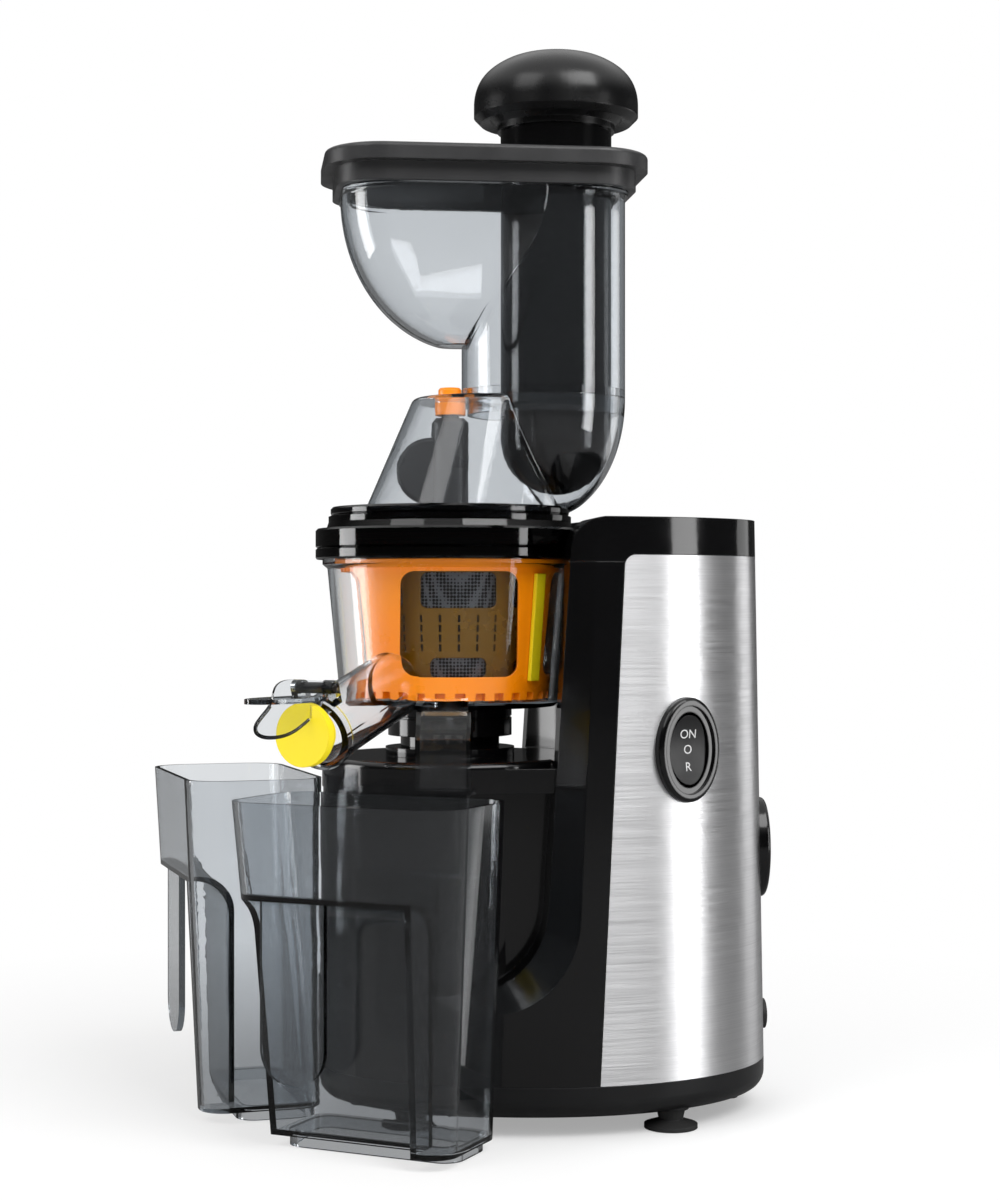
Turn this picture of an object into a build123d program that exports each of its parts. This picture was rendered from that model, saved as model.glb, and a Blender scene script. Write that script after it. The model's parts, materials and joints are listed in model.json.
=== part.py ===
from build123d import *
import math
import os

# Cold press juicer with an upright auger. Millimetres, +Z up, the drum axis at
# x = 0, y = 0 while the pieces are made, the tower towards +Y. At export the whole
# set is moved so that the middle of its footprint, on the table, is the origin.

# ---- stand: tray, tower and platform ----
FOOT_HEIGHT = 8.5
TRAY_TOP = 23.0
HOUSING_TOP = 253.0
STEEL_TOP = 256.0
COVER_TOP = 273.0
BODY_HALF_WIDTH = 74.0
BODY_CENTRE_Y = 50.0
BODY_REAR = 98.0
BODY_FRONT = 111.0
BODY_DRAFT = 0.017
WALL = 2.6
TOWER_FRONT_TOP = 47.5
TOWER_FRONT_FOOT = 35.6
BASE_TOP = 62.0
CURVE_RADIUS = 38.0
BEVEL = 14.0
DRUM_CLEAR = 64.3
STEEL_THICK = 0.8
STEEL_FRONT_TOP = 70.8
STEEL_FRONT_FOOT = 58.9
PLATFORM_TOP = 164.0
PLATFORM_THICK = 14.0
PLATFORM_RADIUS = 59.5
COLUMN_HALF_WIDTH = 47.0
COLUMN_HALF_DEPTH = 59.0
WEB_HALF_WIDTH = 44.0
SEAT_RADIUS = 30.0
FIT_GAP = 0.3
SKIN_GAP = 0.05
FACE_GAP = 0.1

# ---- feet and screws ----
FOOT_RADIUS = 12.0
FOOT_SPOTS = ((54.0, 94.0), (-54.0, 94.0), (42.0, -22.0), (-42.0, -22.0))
SCREW_RADIUS = 1.6
SCREW_SPOTS = ((34.0, 124.0), (-34.0, 124.0), (58.0, 50.0), (-58.0, 50.0), (26.0, -42.0), (-26.0, -42.0))

# ---- drive: motor in the tower, two-stage spur train, spindle under the drum ----
GEAR_MODULE = 1.6
PINION_TEETH = 12
REDUCTION_TEETH = 44
OUTPUT_TEETH = 52
GEAR_BACKLASH = 0.25
OUTPUT_GEAR_Z = (30.0, 40.0)
REDUCTION_GEAR_Z = (43.0, 50.0)
REDUCTION_Y = GEAR_MODULE * (PINION_TEETH + OUTPUT_TEETH) / 2
MOTOR_Y = REDUCTION_Y + GEAR_MODULE * (PINION_TEETH + REDUCTION_TEETH) / 2
GEAR_PLATE_Z = (53.0, 56.0)
MOTOR_RADIUS = 33.0
MOTOR_Z = (62.0, 150.0)
MOTOR_SHAFT_RADIUS = 4.0
SPINDLE_RADIUS = 6.0
SPINDLE_HEX = 10.0
SPINDLE_TOP = 208.0
RUN_GAP = 0.08

# ---- switches ----
SWITCH_Z = 169.3
SWITCH_Y = 100.0
BEZEL_WIDTH = 33.0
BEZEL_HEIGHT = 47.0
BEZEL_PROUD = 3.2
BEZEL_DEPTH = 12.0
ROCKER_WIDTH = 20.0
ROCKER_HEIGHT = 31.0
ROCKER_TRAVEL = 10.0
REAR_SWITCH_Z = 119.0

# ---- control board ----
BOARD_POST_X = 22.0
BOARD_POST_Z = (178.0, 226.0)

# ---- drum: bowl, spout, chute and collar ----
BOWL_FLOOR_Z = 187.0
BOWL_FLOOR_THICK = 3.0
BOWL_WALL = 2.4
BOWL_FOOT_RADIUS = 51.0
BOWL_TOP_RADIUS = 57.0
BOWL_RIM_RADIUS = 59.3
BOWL_RIM_Z = (250.5, 263.0)
BOWL_LEDGE_Z = 255.2
COLLAR_RADIUS = 28.8
COLLAR_Z = (173.4, 187.0)
HUB_RADIUS = 11.5
SPOUT_TURN = 53.0
SPOUT_ROOT = (42.0, -32.0, 197.0)
SPOUT_LENGTH = 59.0
SPOUT_SLOPE = 18.2
SPOUT_RADIUS = 15.0
SPOUT_WALL = 2.2
HINGE_RISE = 4.6
CAP_OPEN = 18.0
CAP_REACH = 30.0
CAP_BLADE = 36.0
CHUTE_TURN = 8.0
CHUTE_WIDTH = 24.0
CHUTE_HEIGHT = 17.0
CHUTE_WALL = 2.0
CHUTE_ELBOW = (68.0, 178.5)
CHUTE_MOUTH_Z = 153.5

# ---- brush frame, strainer, auger ----
BRUSH_TOP_RADIUS = 51.2
BRUSH_FOOT_RADIUS = 46.0
BRUSH_Z = (190.8, 254.4)
BRUSH_WALL = 2.4
BRUSH_GEAR_TOP = 196.4
WINDOW_COUNT = 4
WINDOW_ANGLE = 66.0
WINDOW_Z = (201.5, 249.0)
STRAINER_TOP_RADIUS = 43.5
STRAINER_FOOT_RADIUS = 38.5
STRAINER_WALL = 1.6
STRAINER_Z = (197.2, 254.6)
STRAINER_FLANGE_RADIUS = 56.6
MESH_BANDS = ((201.0, 210.0), (232.5, 248.5))
SLOT_ROWS = 4
SLOT_COLUMNS = 30
DRUM_MODULE = 1.8
AUGER_TEETH = 18
IDLER_TEETH = 12
IDLER_TURN = 230.0
AUGER_CORE_FOOT = 19.0
AUGER_CORE_TOP = 11.0
AUGER_FLIGHT_FOOT = 34.5
AUGER_FLIGHT_TOP = 30.5
AUGER_Z = (199.5, 268.0)
AUGER_JOURNAL = 8.6
AUGER_BOSS_RADIUS = 8.6
AUGER_BOSS_TOP = 320.5
AUGER_PIN_RADIUS = 4.0
AUGER_PIN_TOP = 331.5
LOBE_RADIUS = 15.5
LOBE_CENTRE = (-9.5, 296.0)
LOBE_THICK = 6.5

# ---- lid, hopper and pusher ----
LID_RING_RADIUS = 62.5
LID_RING_INNER = 59.7
LID_RING_Z = (254.8, 269.0)
LID_TIER_RADIUS = 55.5
LID_TIER_TOP = 279.0
LID_TOP = 330.0
LID_WALL = 2.4
LID_FOOT = (5.0, 47.0)
LID_HEAD = (16.0, 33.0)
TUBE_Y = 44.0
TUBE_RADIUS = 38.3
TUBE_WALL = 2.4
ELBOW_DROP = 56.0
SOCKET_DEPTH = 8.0
HOPPER_RIM_Z = (424.0, 440.5)
RIM_CENTRE_Y = 15.2
RIM_LENGTH = 149.0
RIM_WIDTH = 92.0
RIM_CORNER = 27.0
RIM_STEP = 5.5
BOWL_END_Y = -51.0
SCOOP_DEPTH = 72.0
SCOOP_CENTRE_Y = 8.0
SCOOP_HALF_LENGTH = 59.0
SCOOP_HALF_WIDTH = 40.0
PUSHER_Y = 50.0
PUSHER_RADIUS = 26.0
PUSHER_WALL = 2.5
PUSHER_BOTTOM = 285.5
KNOB_RADIUS = 38.5
KNOB_Z = (455.0, 492.0)

# ---- cups ----
CUP_WALL = 2.2
CUP_FOOT = 5.0
CUP_FOOT_SIZE = (91.0, 55.0)
CUP_FOOT_CORNER = 12.0
CUP_FOOT_SHIFT = -7.5
CUP_RIM_SIZE = (111.5, 63.0)
CUP_RIM_CORNER = 16.0
CUP_RIM_SHIFT = -4.2
CUP_RECESS = 41.5
CUP_RECESS_END = -37.0
CUP_SHOULDER_Z = 108.0
CUP_LEDGE_RADIUS = 16.0
JUICE_CUP_HEIGHT = 150.0
JUICE_CUP_TURN = -32.0
JUICE_CUP_BACK = 60.5
JUICE_CUP_SHIFT = 2.0
PULP_CUP_HEIGHT = 155.0
PULP_CUP_TURN = -79.0
PULP_CUP_BACK = 61.2
PULP_CUP_SHIFT = -47.0
PULP_CUP_PULL = -112.0

FAR = 300.0


# ---------------------------------------------------------------- small helpers
def disc(radius, low, high, x=0.0, y=0.0):
    """Upright cylinder between two heights."""
    return Pos(x, y, (low + high) / 2) * Cylinder(radius, high - low)


def block(x, y, z):
    """Box from three (low, high) pairs."""
    middle = [(low + high) / 2 for low, high in (x, y, z)]
    return Pos(*middle) * Box(x[1] - x[0], y[1] - y[0], z[1] - z[0])


def turned(*points):
    """Solid turned about the drum axis from (radius, height) points."""
    outline = Plane.XZ * Polyline(*points, close=True)
    return revolve(make_face(outline), Axis.Z)


def side_slab(outline, half_width):
    """Solid with a (y, z) outline, as wide as twice half_width about x = 0."""
    return extrude(Plane.YZ * make_face(outline), amount=half_width, both=True)


def ring_of(piece, count, start=0.0):
    """Copies of a piece, evenly turned about the drum axis."""
    return [Rot(0, 0, start + index * 360 / count) * piece for index in range(count)]


def cone_radius(low, high, z):
    """Radius at height z of a cone through two (radius, height) points."""
    share = (z - low[1]) / (high[1] - low[1])
    return low[0] + (high[0] - low[0]) * share


# ---------------------------------------------------------------- gears
def involute_point(base, radius, turn):
    """Point of an involute at a radius, its foot turned by an angle in radians."""
    pressure = math.acos(min(1.0, base / radius))
    angle = turn + math.tan(pressure) - pressure
    return radius * math.cos(angle), radius * math.sin(angle)


def gear_face(teeth, module, backlash):
    """Spur gear outline with one tooth on the +X axis; backlash thins the teeth."""
    pitch = module * teeth / 2
    base = pitch * math.cos(math.radians(20))
    tip = pitch + module
    root = pitch - 1.25 * module
    pressure = math.radians(20)
    half_tooth = math.pi / (2 * teeth) - backlash / (2 * pitch)
    foot_turn = half_tooth + math.tan(pressure) - pressure
    flank = [involute_point(base, radius, 0.0) for radius in (max(base, root), pitch, tip)]
    points = []
    for tooth in range(teeth):
        middle = 2 * math.pi * tooth / teeth
        left = [(x, -y) for x, y in flank]
        for x, y in [(root, 0.0)] + flank:
            angle = middle - foot_turn + math.atan2(y, x)
            size = math.hypot(x, y)
            points.append((size * math.cos(angle), size * math.sin(angle)))
        for x, y in reversed([(root, 0.0)] + left):
            angle = middle + foot_turn + math.atan2(y, x)
            size = math.hypot(x, y)
            points.append((size * math.cos(angle), size * math.sin(angle)))
    return make_face(Polyline(*points, close=True))


def gear(teeth, module, span, turn=0.0, backlash=GEAR_BACKLASH):
    """Spur gear about the Z axis between two heights, turned by an angle in degrees."""
    blank = extrude(gear_face(teeth, module, backlash), amount=span[1] - span[0])
    return Pos(0, 0, span[0]) * Rot(0, 0, turn) * blank


# ---------------------------------------------------------------- stand
def egg_face(z, inset=0.0):
    """Plan of the stand: two half ellipses that meet at its widest line."""
    shrink = inset + BODY_DRAFT * max(0.0, z - TRAY_TOP)
    side = BODY_HALF_WIDTH - shrink
    rear = EllipticalCenterArc((0, BODY_CENTRE_Y), side, BODY_REAR - shrink, 0, arc_size=180)
    front = EllipticalCenterArc((0, BODY_CENTRE_Y), side, BODY_FRONT - shrink, 180, arc_size=180)
    return Pos(0, 0, z) * make_face([rear, front])


def egg_prism(low, high, inset=0.0):
    """The plan carried up between two heights, with the moulding draft."""
    return loft([egg_face(low, inset), egg_face(high, inset)], ruled=True)


def front_line(z, inset=0.0):
    """Y of the tower's leaning front at a height."""
    lean = (TOWER_FRONT_TOP - TOWER_FRONT_FOOT) / (HOUSING_TOP - BASE_TOP)
    return TOWER_FRONT_FOOT + lean * (z - BASE_TOP) + inset


def c_outline(inset=0.0):
    """Side outline of tower and base: the tower's front sweeps round onto the base."""
    corner = (front_line(BASE_TOP - inset, inset), BASE_TOP - inset)
    top = (front_line(2 * FAR, inset), 2 * FAR)
    sweep = FilletPolyline(top, corner, (-FAR, BASE_TOP - inset), radius=CURVE_RADIUS + inset)
    rest = Polyline((-FAR, BASE_TOP - inset), (-FAR, -FAR), (FAR, -FAR), (FAR, 2 * FAR), top)
    return make_face([sweep, rest])


def c_solid(inset=0.0):
    """The side outline as a slab whose two ends are cut back by the 45 degree bevel."""
    half = BODY_HALF_WIDTH - BEVEL - inset * (math.sqrt(2) - 1)
    face = Plane.YZ * c_outline(inset)
    middle = extrude(face, amount=half, both=True)
    depth = BEVEL + 4.0
    near = extrude(Pos(half, 0, 0) * face, amount=depth, taper=45)
    return middle + near + mirror(near, Plane.YZ)


def column(low, high, inset=0.0):
    """Hollow pillar under the drum, joined back to the tower."""
    pillar = extrude(Ellipse(COLUMN_HALF_WIDTH - inset, COLUMN_HALF_DEPTH - inset), amount=high - low)
    half = WEB_HALF_WIDTH - inset
    web = block((-half, half), (0.0, TOWER_FRONT_TOP + WALL), (low, high))
    return Pos(0, 0, low) * pillar + web


def platform(inset=0.0):
    """Round platform that carries the drum, run back into the tower."""
    low = PLATFORM_TOP - PLATFORM_THICK
    half = PLATFORM_RADIUS - 3.0
    deck = disc(PLATFORM_RADIUS, low, PLATFORM_TOP)
    deck = fillet(deck.edges().sort_by(Axis.Z)[-1], 3.0)
    bridge = block((-half, half), (0.0, TOWER_FRONT_TOP + WALL), (low, PLATFORM_TOP - 3.0))
    return deck + bridge


def steel_zone(low, grow=0.0):
    """Side window of the steel wrap: leaning front edge, rounded top corner."""
    lean = (STEEL_FRONT_TOP - STEEL_FRONT_FOOT) / (HOUSING_TOP - TRAY_TOP)
    foot_y = STEEL_FRONT_FOOT + lean * (low - TRAY_TOP)
    top_y = STEEL_FRONT_FOOT + lean * (STEEL_TOP - TRAY_TOP)
    edge = FilletPolyline((foot_y - grow, low), (top_y - grow, STEEL_TOP + grow),
                          (FAR, STEEL_TOP + grow), radius=5.0)
    rest = Polyline((FAR, STEEL_TOP + grow), (FAR, low), (foot_y - grow, low))
    return side_slab([edge, rest], FAR)


def switch_plane():
    """Local frame of the side switch: z out of the tower's flank, y up."""
    rise = (SWITCH_Y - BODY_CENTRE_Y) / (BODY_REAR - BODY_DRAFT * (SWITCH_Z - TRAY_TOP))
    side = BODY_HALF_WIDTH - BODY_DRAFT * (SWITCH_Z - TRAY_TOP)
    x = side * math.sqrt(1 - rise ** 2)
    normal = Vector(x / side ** 2, rise / BODY_REAR, 0).normalized()
    return Plane((x, SWITCH_Y, SWITCH_Z), x_dir=(-normal.Y, normal.X, 0), z_dir=normal)


def rear_plane():
    """Local frame of the rear switch: z straight out of the tower's back."""
    back = BODY_CENTRE_Y + BODY_REAR - BODY_DRAFT * (REAR_SWITCH_Z - TRAY_TOP)
    return Plane((0, back, REAR_SWITCH_Z), x_dir=(-1, 0, 0), z_dir=(0, 1, 0))


def switch_hole(plane):
    """Opening through steel and housing for a switch, a little larger than its bezel."""
    oval = Ellipse(BEZEL_WIDTH / 2 + FACE_GAP, BEZEL_HEIGHT / 2 + FACE_GAP)
    return plane.location * Pos(0, 0, -BEZEL_DEPTH) * extrude(oval, amount=2 * BEZEL_DEPTH)


def housing_shell():
    """Black housing: tower, sweeping base, pillar and platform in one moulding, open below."""
    body = egg_prism(TRAY_TOP, HOUSING_TOP) & c_solid()
    body += column(BASE_TOP - WALL, PLATFORM_TOP - PLATFORM_THICK / 2)
    body += platform()
    skin = STEEL_THICK + 2 * SKIN_GAP
    band = egg_prism(TRAY_TOP, HOUSING_TOP) - egg_prism(TRAY_TOP, HOUSING_TOP, skin)
    body -= band & steel_zone(TRAY_TOP, FACE_GAP)
    body -= disc(DRUM_CLEAR, PLATFORM_TOP, HOUSING_TOP + 1.0)
    room = egg_prism(TRAY_TOP, HOUSING_TOP - WALL, skin + WALL) & c_solid(WALL)
    room -= disc(DRUM_CLEAR + WALL, PLATFORM_TOP - WALL, HOUSING_TOP)
    pillar_top = PLATFORM_TOP - PLATFORM_THICK
    room += column(BASE_TOP - 2 * WALL, pillar_top, WALL)
    body -= room
    sleeve = disc(SPINDLE_RADIUS + 6.5, pillar_top - 16.0, PLATFORM_TOP - WALL)
    body += sleeve
    body += disc(SEAT_RADIUS, PLATFORM_TOP, PLATFORM_TOP + 4.0)
    body += disc(SEAT_RADIUS - 7.0, PLATFORM_TOP + 4.0, COLLAR_Z[0] - FIT_GAP)
    bearing = disc(SPINDLE_RADIUS + 4.0, pillar_top - 17.0, PLATFORM_TOP - WALL)
    body -= bearing
    body -= disc(SPINDLE_RADIUS + 0.5, PLATFORM_TOP - 2 * WALL, COLLAR_Z[0] + 1.0)
    body -= switch_hole(switch_plane())
    body -= switch_hole(rear_plane())
    limit = egg_prism(TRAY_TOP, HOUSING_TOP - WALL, skin + WALL / 2)
    for x, y in SCREW_SPOTS:
        turn = math.degrees(math.atan2(y - BODY_CENTRE_Y, x))
        rib = Pos(x, y, TRAY_TOP + 11.0) * Rot(0, 0, turn) * Pos(12.0, 0, 0) * Box(24.0, 3.0, 22.0)
        body += (disc(4.5, TRAY_TOP, TRAY_TOP + 22.0, x, y) + rib) & limit
        body -= disc(SCREW_RADIUS + FACE_GAP, TRAY_TOP, TRAY_TOP + 16.0, x, y)
    gland = rear_gland_spot().location
    body -= gland * Cylinder(5.0 + FACE_GAP, 30.0)
    return body - gland * Pos(0, 0, 8.6) * Cylinder(7.0 + FACE_GAP, 20.0)


def steel_wrap():
    """Brushed steel sheet bent round the tower's flanks and back."""
    low = TRAY_TOP + FACE_GAP
    outer = egg_prism(low, STEEL_TOP)
    inner = egg_prism(low, STEEL_TOP, STEEL_THICK)
    sheet = (outer - inner) & steel_zone(low)
    sheet -= switch_hole(switch_plane())
    sheet -= switch_hole(rear_plane())
    gland_hole = rear_gland_spot().location * Cylinder(7.0 + FACE_GAP, 30.0)
    return sheet - gland_hole


def top_cover():
    """Cap of the tower: rounded at its front top corner, hollow below."""
    nose = 15.0
    outline = FilletPolyline((front_line(HOUSING_TOP - 20.0), HOUSING_TOP - 20.0),
                             (front_line(COVER_TOP), COVER_TOP), (FAR, COVER_TOP), radius=nose)
    rest = Polyline((FAR, COVER_TOP), (FAR, HOUSING_TOP - 20.0),
                    (front_line(HOUSING_TOP - 20.0), HOUSING_TOP - 20.0))
    rounded = side_slab([outline, rest], FAR)
    low = HOUSING_TOP + SKIN_GAP
    block_form = egg_prism(low, COVER_TOP) & c_solid() & rounded
    block_form -= disc(DRUM_CLEAR, low - 1.0, COVER_TOP + 1.0)
    hollow = egg_prism(low, COVER_TOP - WALL, 2 * WALL) & c_solid(WALL + 8.0)
    hollow -= disc(DRUM_CLEAR + WALL, low - 1.0, COVER_TOP)
    cover = block_form - hollow
    skin = STEEL_THICK + 2 * SKIN_GAP
    rebate = egg_prism(low - 1.0, STEEL_TOP + FACE_GAP) - egg_prism(low - 1.0, STEEL_TOP + FACE_GAP, skin)
    return cover - (rebate & steel_zone(TRAY_TOP, FACE_GAP))


def base_tray():
    """Bottom tray with a rounded lower edge, vents, screw holes and foot sockets."""
    solid = egg_prism(FOOT_HEIGHT, TRAY_TOP)
    solid = fillet(solid.edges().group_by(Axis.Z)[0], 8.0)
    tray = solid - egg_prism(FOOT_HEIGHT + WALL, TRAY_TOP, 2 * WALL + 3.0)
    for x, y in FOOT_SPOTS:
        tray += disc(8.0, FOOT_HEIGHT, FOOT_HEIGHT + 7.0, x, y)
        tray -= disc(3.0 + FACE_GAP, FOOT_HEIGHT, FOOT_HEIGHT + 7.0, x, y)
    for x, y in SCREW_SPOTS:
        tray += disc(5.0, FOOT_HEIGHT, TRAY_TOP, x, y)
        tray -= disc(SCREW_RADIUS + FACE_GAP, FOOT_HEIGHT, TRAY_TOP, x, y)
        tray -= disc(3.2, FOOT_HEIGHT, FOOT_HEIGHT + 8.0, x, y)
    vent = block((-16.0, 16.0), (-1.5, 1.5), (FOOT_HEIGHT, FOOT_HEIGHT + WALL))
    for row in range(7):
        tray -= Pos(0, 78.0 + 6.0 * row, 0) * vent
    return tray


def suction_feet():
    """Four rubber feet: a stem in the tray and a flared cup on the table."""
    foot = turned((0, FOOT_HEIGHT + 6.5), (3.0, FOOT_HEIGHT + 6.5), (3.0, FOOT_HEIGHT),
                  (6.5, FOOT_HEIGHT), (5.5, 4.0), (FOOT_RADIUS, 1.8), (FOOT_RADIUS, 0.0), (0, 0.0))
    return [Pos(x, y, 0) * foot for x, y in FOOT_SPOTS]


def tray_screws():
    """Screws that hold the tray to the housing."""
    head = disc(3.0, FOOT_HEIGHT + 5.6, FOOT_HEIGHT + 8.0)
    shank = disc(SCREW_RADIUS, FOOT_HEIGHT + 8.0, TRAY_TOP + 14.0)
    drive = extrude(RegularPolygon(1.4, 6), amount=1.4)
    screw = head + shank - Pos(0, 0, FOOT_HEIGHT + 5.6) * drive
    return [Pos(x, y, 0) * screw for x, y in SCREW_SPOTS]


def rear_gland_spot():
    """Local frame of the mains lead's gland, low on the tower's back."""
    back = BODY_CENTRE_Y + BODY_REAR - BODY_DRAFT * 17.0
    return Plane((0, back, 40.0), x_dir=(-1, 0, 0), z_dir=(0, 1, 0))


def cord_gland():
    """Rubber gland in the back, where the mains lead would leave."""
    sleeve = Pos(0, 0, -3.0) * Cylinder(5.0, 10.0)
    flange = Pos(0, 0, 0.4) * Cylinder(7.0, 3.2)
    bore = Pos(0, 0, -2.0) * Cylinder(3.2, 20.0)
    return rear_gland_spot().location * (sleeve + flange - bore)


# ---------------------------------------------------------------- switches
def switch_bezel(plane):
    """Oval raised ring with a step inside and a rocker well, let into the steel."""
    oval = Ellipse(BEZEL_WIDTH / 2, BEZEL_HEIGHT / 2)
    ring = Pos(0, 0, -BEZEL_DEPTH) * extrude(oval, amount=BEZEL_DEPTH + BEZEL_PROUD)
    ring = fillet(ring.edges().sort_by(Axis.Z)[-1], 2.0)
    step = Ellipse(ROCKER_WIDTH / 2 + 3.2, ROCKER_HEIGHT / 2 + 4.2)
    ring -= Pos(0, 0, BEZEL_PROUD - 1.3) * extrude(step, amount=5.0)
    well = Ellipse(ROCKER_WIDTH / 2 + 0.5, ROCKER_HEIGHT / 2 + 1.4)
    ring -= Pos(0, 0, -BEZEL_DEPTH + 1.5) * extrude(well, amount=2 * BEZEL_DEPTH)
    axle = Rot(0, 90, 0) * Cylinder(1.5 + RUN_GAP, ROCKER_WIDTH + 5.0)
    return plane.location * (ring - Pos(0, 0, -4.0) * axle)


def switch_axle(plane):
    """Steel pin that the rocker turns on."""
    pin = Rot(0, 90, 0) * Cylinder(1.5, ROCKER_WIDTH + 5.0)
    return plane.location * Pos(0, 0, -4.0) * pin


def rocker(plane):
    """Oval rocker key with a hollow front, bored for its axle."""
    half = ROCKER_HEIGHT / 2
    front = ThreePointArc((-half, 2.2), (0.0, 0.4), (half, 2.2))
    rest = Polyline((half, 2.2), (half, 0.0), (half - 2.6, -6.0), (3.0, -8.0),
                    (-3.0, -8.0), (-half + 2.6, -6.0), (-half, 0.0), (-half, 2.2))
    key = extrude(Plane.YZ * make_face([front, rest]), amount=ROCKER_WIDTH / 2, both=True)
    key &= Pos(0, 0, -10.0) * extrude(Ellipse(ROCKER_WIDTH / 2, half), amount=20.0)
    bore = Pos(0, 0, -4.0) * Rot(0, 90, 0) * Cylinder(1.5 + RUN_GAP, ROCKER_WIDTH + 2.0)
    return plane.location * (key - bore)


# ---------------------------------------------------------------- drive
def gear_plate():
    """Steel plate over the gears that carries the motor and the idler's shaft."""
    low, high = GEAR_PLATE_Z
    plate = egg_prism(low, high, WALL + 6.0) & block((-56.0, 56.0), (14.0, 134.0), (low, high))
    plate -= disc(SPINDLE_RADIUS + 14.0, low, high)
    plate -= disc(MOTOR_SHAFT_RADIUS + 6.0, low, high, 0.0, MOTOR_Y)
    plate -= disc(SPINDLE_RADIUS, low, high, 0.0, REDUCTION_Y)
    for x, y in SCREW_SPOTS:
        plate -= disc(5.5, low, high, x, y)
    return plate


def motor():
    """Upright motor: laminated can with end bells, bored for its shaft."""
    low, high = MOTOR_Z
    can = disc(MOTOR_RADIUS, low + 8.0, high - 14.0)
    foot = disc(MOTOR_RADIUS - 4.0, low, low + 8.0)
    neck = disc(13.0, GEAR_PLATE_Z[1], low)
    bell = disc(MOTOR_RADIUS - 7.0, high - 14.0, high - 2.0)
    cap = disc(10.0, high - 2.0, high + 4.0)
    for copy in ring_of(block((16.0, MOTOR_RADIUS - 9.0), (-2.5, 2.5), (high - 9.0, high - 2.0)), 8):
        bell -= copy
    solid = can + foot + neck + bell + cap
    return Pos(0, MOTOR_Y, 0) * (solid - disc(MOTOR_SHAFT_RADIUS + RUN_GAP, GEAR_PLATE_Z[1], high))


def motor_shaft():
    """Rotor shaft with its pinion."""
    mesh_turn = -90.0 + 180.0 / PINION_TEETH
    shaft = disc(MOTOR_SHAFT_RADIUS, GEAR_PLATE_Z[0] - 2.0, MOTOR_Z[1] - 1.0)
    tip = REDUCTION_GEAR_Z[0] - 1.0, GEAR_PLATE_Z[0] - 1.0
    pinion = gear(PINION_TEETH, GEAR_MODULE, tip, mesh_turn)
    return Pos(0, MOTOR_Y, 0) * (shaft + pinion)


def reduction_gear():
    """Compound gear between motor and output: large wheel over a small pinion."""
    wheel = gear(REDUCTION_TEETH, GEAR_MODULE, REDUCTION_GEAR_Z, 90.0)
    mesh_turn = -90.0 + 180.0 / PINION_TEETH
    low = (OUTPUT_GEAR_Z[0] - 1.0, REDUCTION_GEAR_Z[0])
    pinion = gear(PINION_TEETH, GEAR_MODULE, low, mesh_turn)
    solid = wheel + pinion - disc(3.0 + RUN_GAP, low[0], REDUCTION_GEAR_Z[1])
    return Pos(0, REDUCTION_Y, 0) * solid


def reduction_shaft():
    """Fixed pin under the gear plate that the compound gear runs on."""
    pin = disc(3.0, OUTPUT_GEAR_Z[0] - 3.0, GEAR_PLATE_Z[0])
    rivet = disc(SPINDLE_RADIUS - SKIN_GAP, GEAR_PLATE_Z[0], GEAR_PLATE_Z[1])
    washer = disc(5.0, OUTPUT_GEAR_Z[0] - 3.0, OUTPUT_GEAR_Z[0] - 1.3)
    return Pos(0, REDUCTION_Y, 0) * (pin + rivet + washer)


def output_gear():
    """Large output wheel under the drum."""
    wheel = gear(OUTPUT_TEETH, GEAR_MODULE, OUTPUT_GEAR_Z, 90.0)
    hub = disc(13.0, OUTPUT_GEAR_Z[1], OUTPUT_GEAR_Z[1] + 8.0)
    hole = Pos(30.0, 0, 0) * disc(7.0, OUTPUT_GEAR_Z[0], OUTPUT_GEAR_Z[1])
    wheel += hub
    for copy in ring_of(hole, 6, 30.0):
        wheel -= copy
    return wheel - disc(SPINDLE_RADIUS + SKIN_GAP, OUTPUT_GEAR_Z[0], OUTPUT_GEAR_Z[1] + 8.0)


def drive_spindle():
    """Output shaft: round in its bearing, hexagonal where the auger sits on it."""
    round_part = disc(SPINDLE_RADIUS, OUTPUT_GEAR_Z[0], BOWL_FLOOR_Z - 6.0)
    outline = RegularPolygon(SPINDLE_HEX / 2, 6, major_radius=False)
    hexagon = extrude(outline, amount=SPINDLE_TOP - BOWL_FLOOR_Z + 6.0)
    hexagon = Pos(0, 0, BOWL_FLOOR_Z - 6.0) * hexagon
    return round_part + chamfer(hexagon.faces().sort_by(Axis.Z)[-1].edges(), 0.8)


def spindle_bearing():
    """Sintered bush for the spindle in the platform's sleeve."""
    low = PLATFORM_TOP - PLATFORM_THICK - 16.0
    high = PLATFORM_TOP - 2 * WALL - FIT_GAP
    return disc(SPINDLE_RADIUS + 4.0 - SKIN_GAP, low, high) - disc(SPINDLE_RADIUS + RUN_GAP, low, high)


def shaft_seal():
    """Rubber lip seal on top of the bearing."""
    low = PLATFORM_TOP - 2 * WALL - FIT_GAP + SKIN_GAP
    high = PLATFORM_TOP - WALL - SKIN_GAP
    return disc(SPINDLE_RADIUS + 4.0 - SKIN_GAP, low, high) - disc(SPINDLE_RADIUS + RUN_GAP, low, high)


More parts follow.
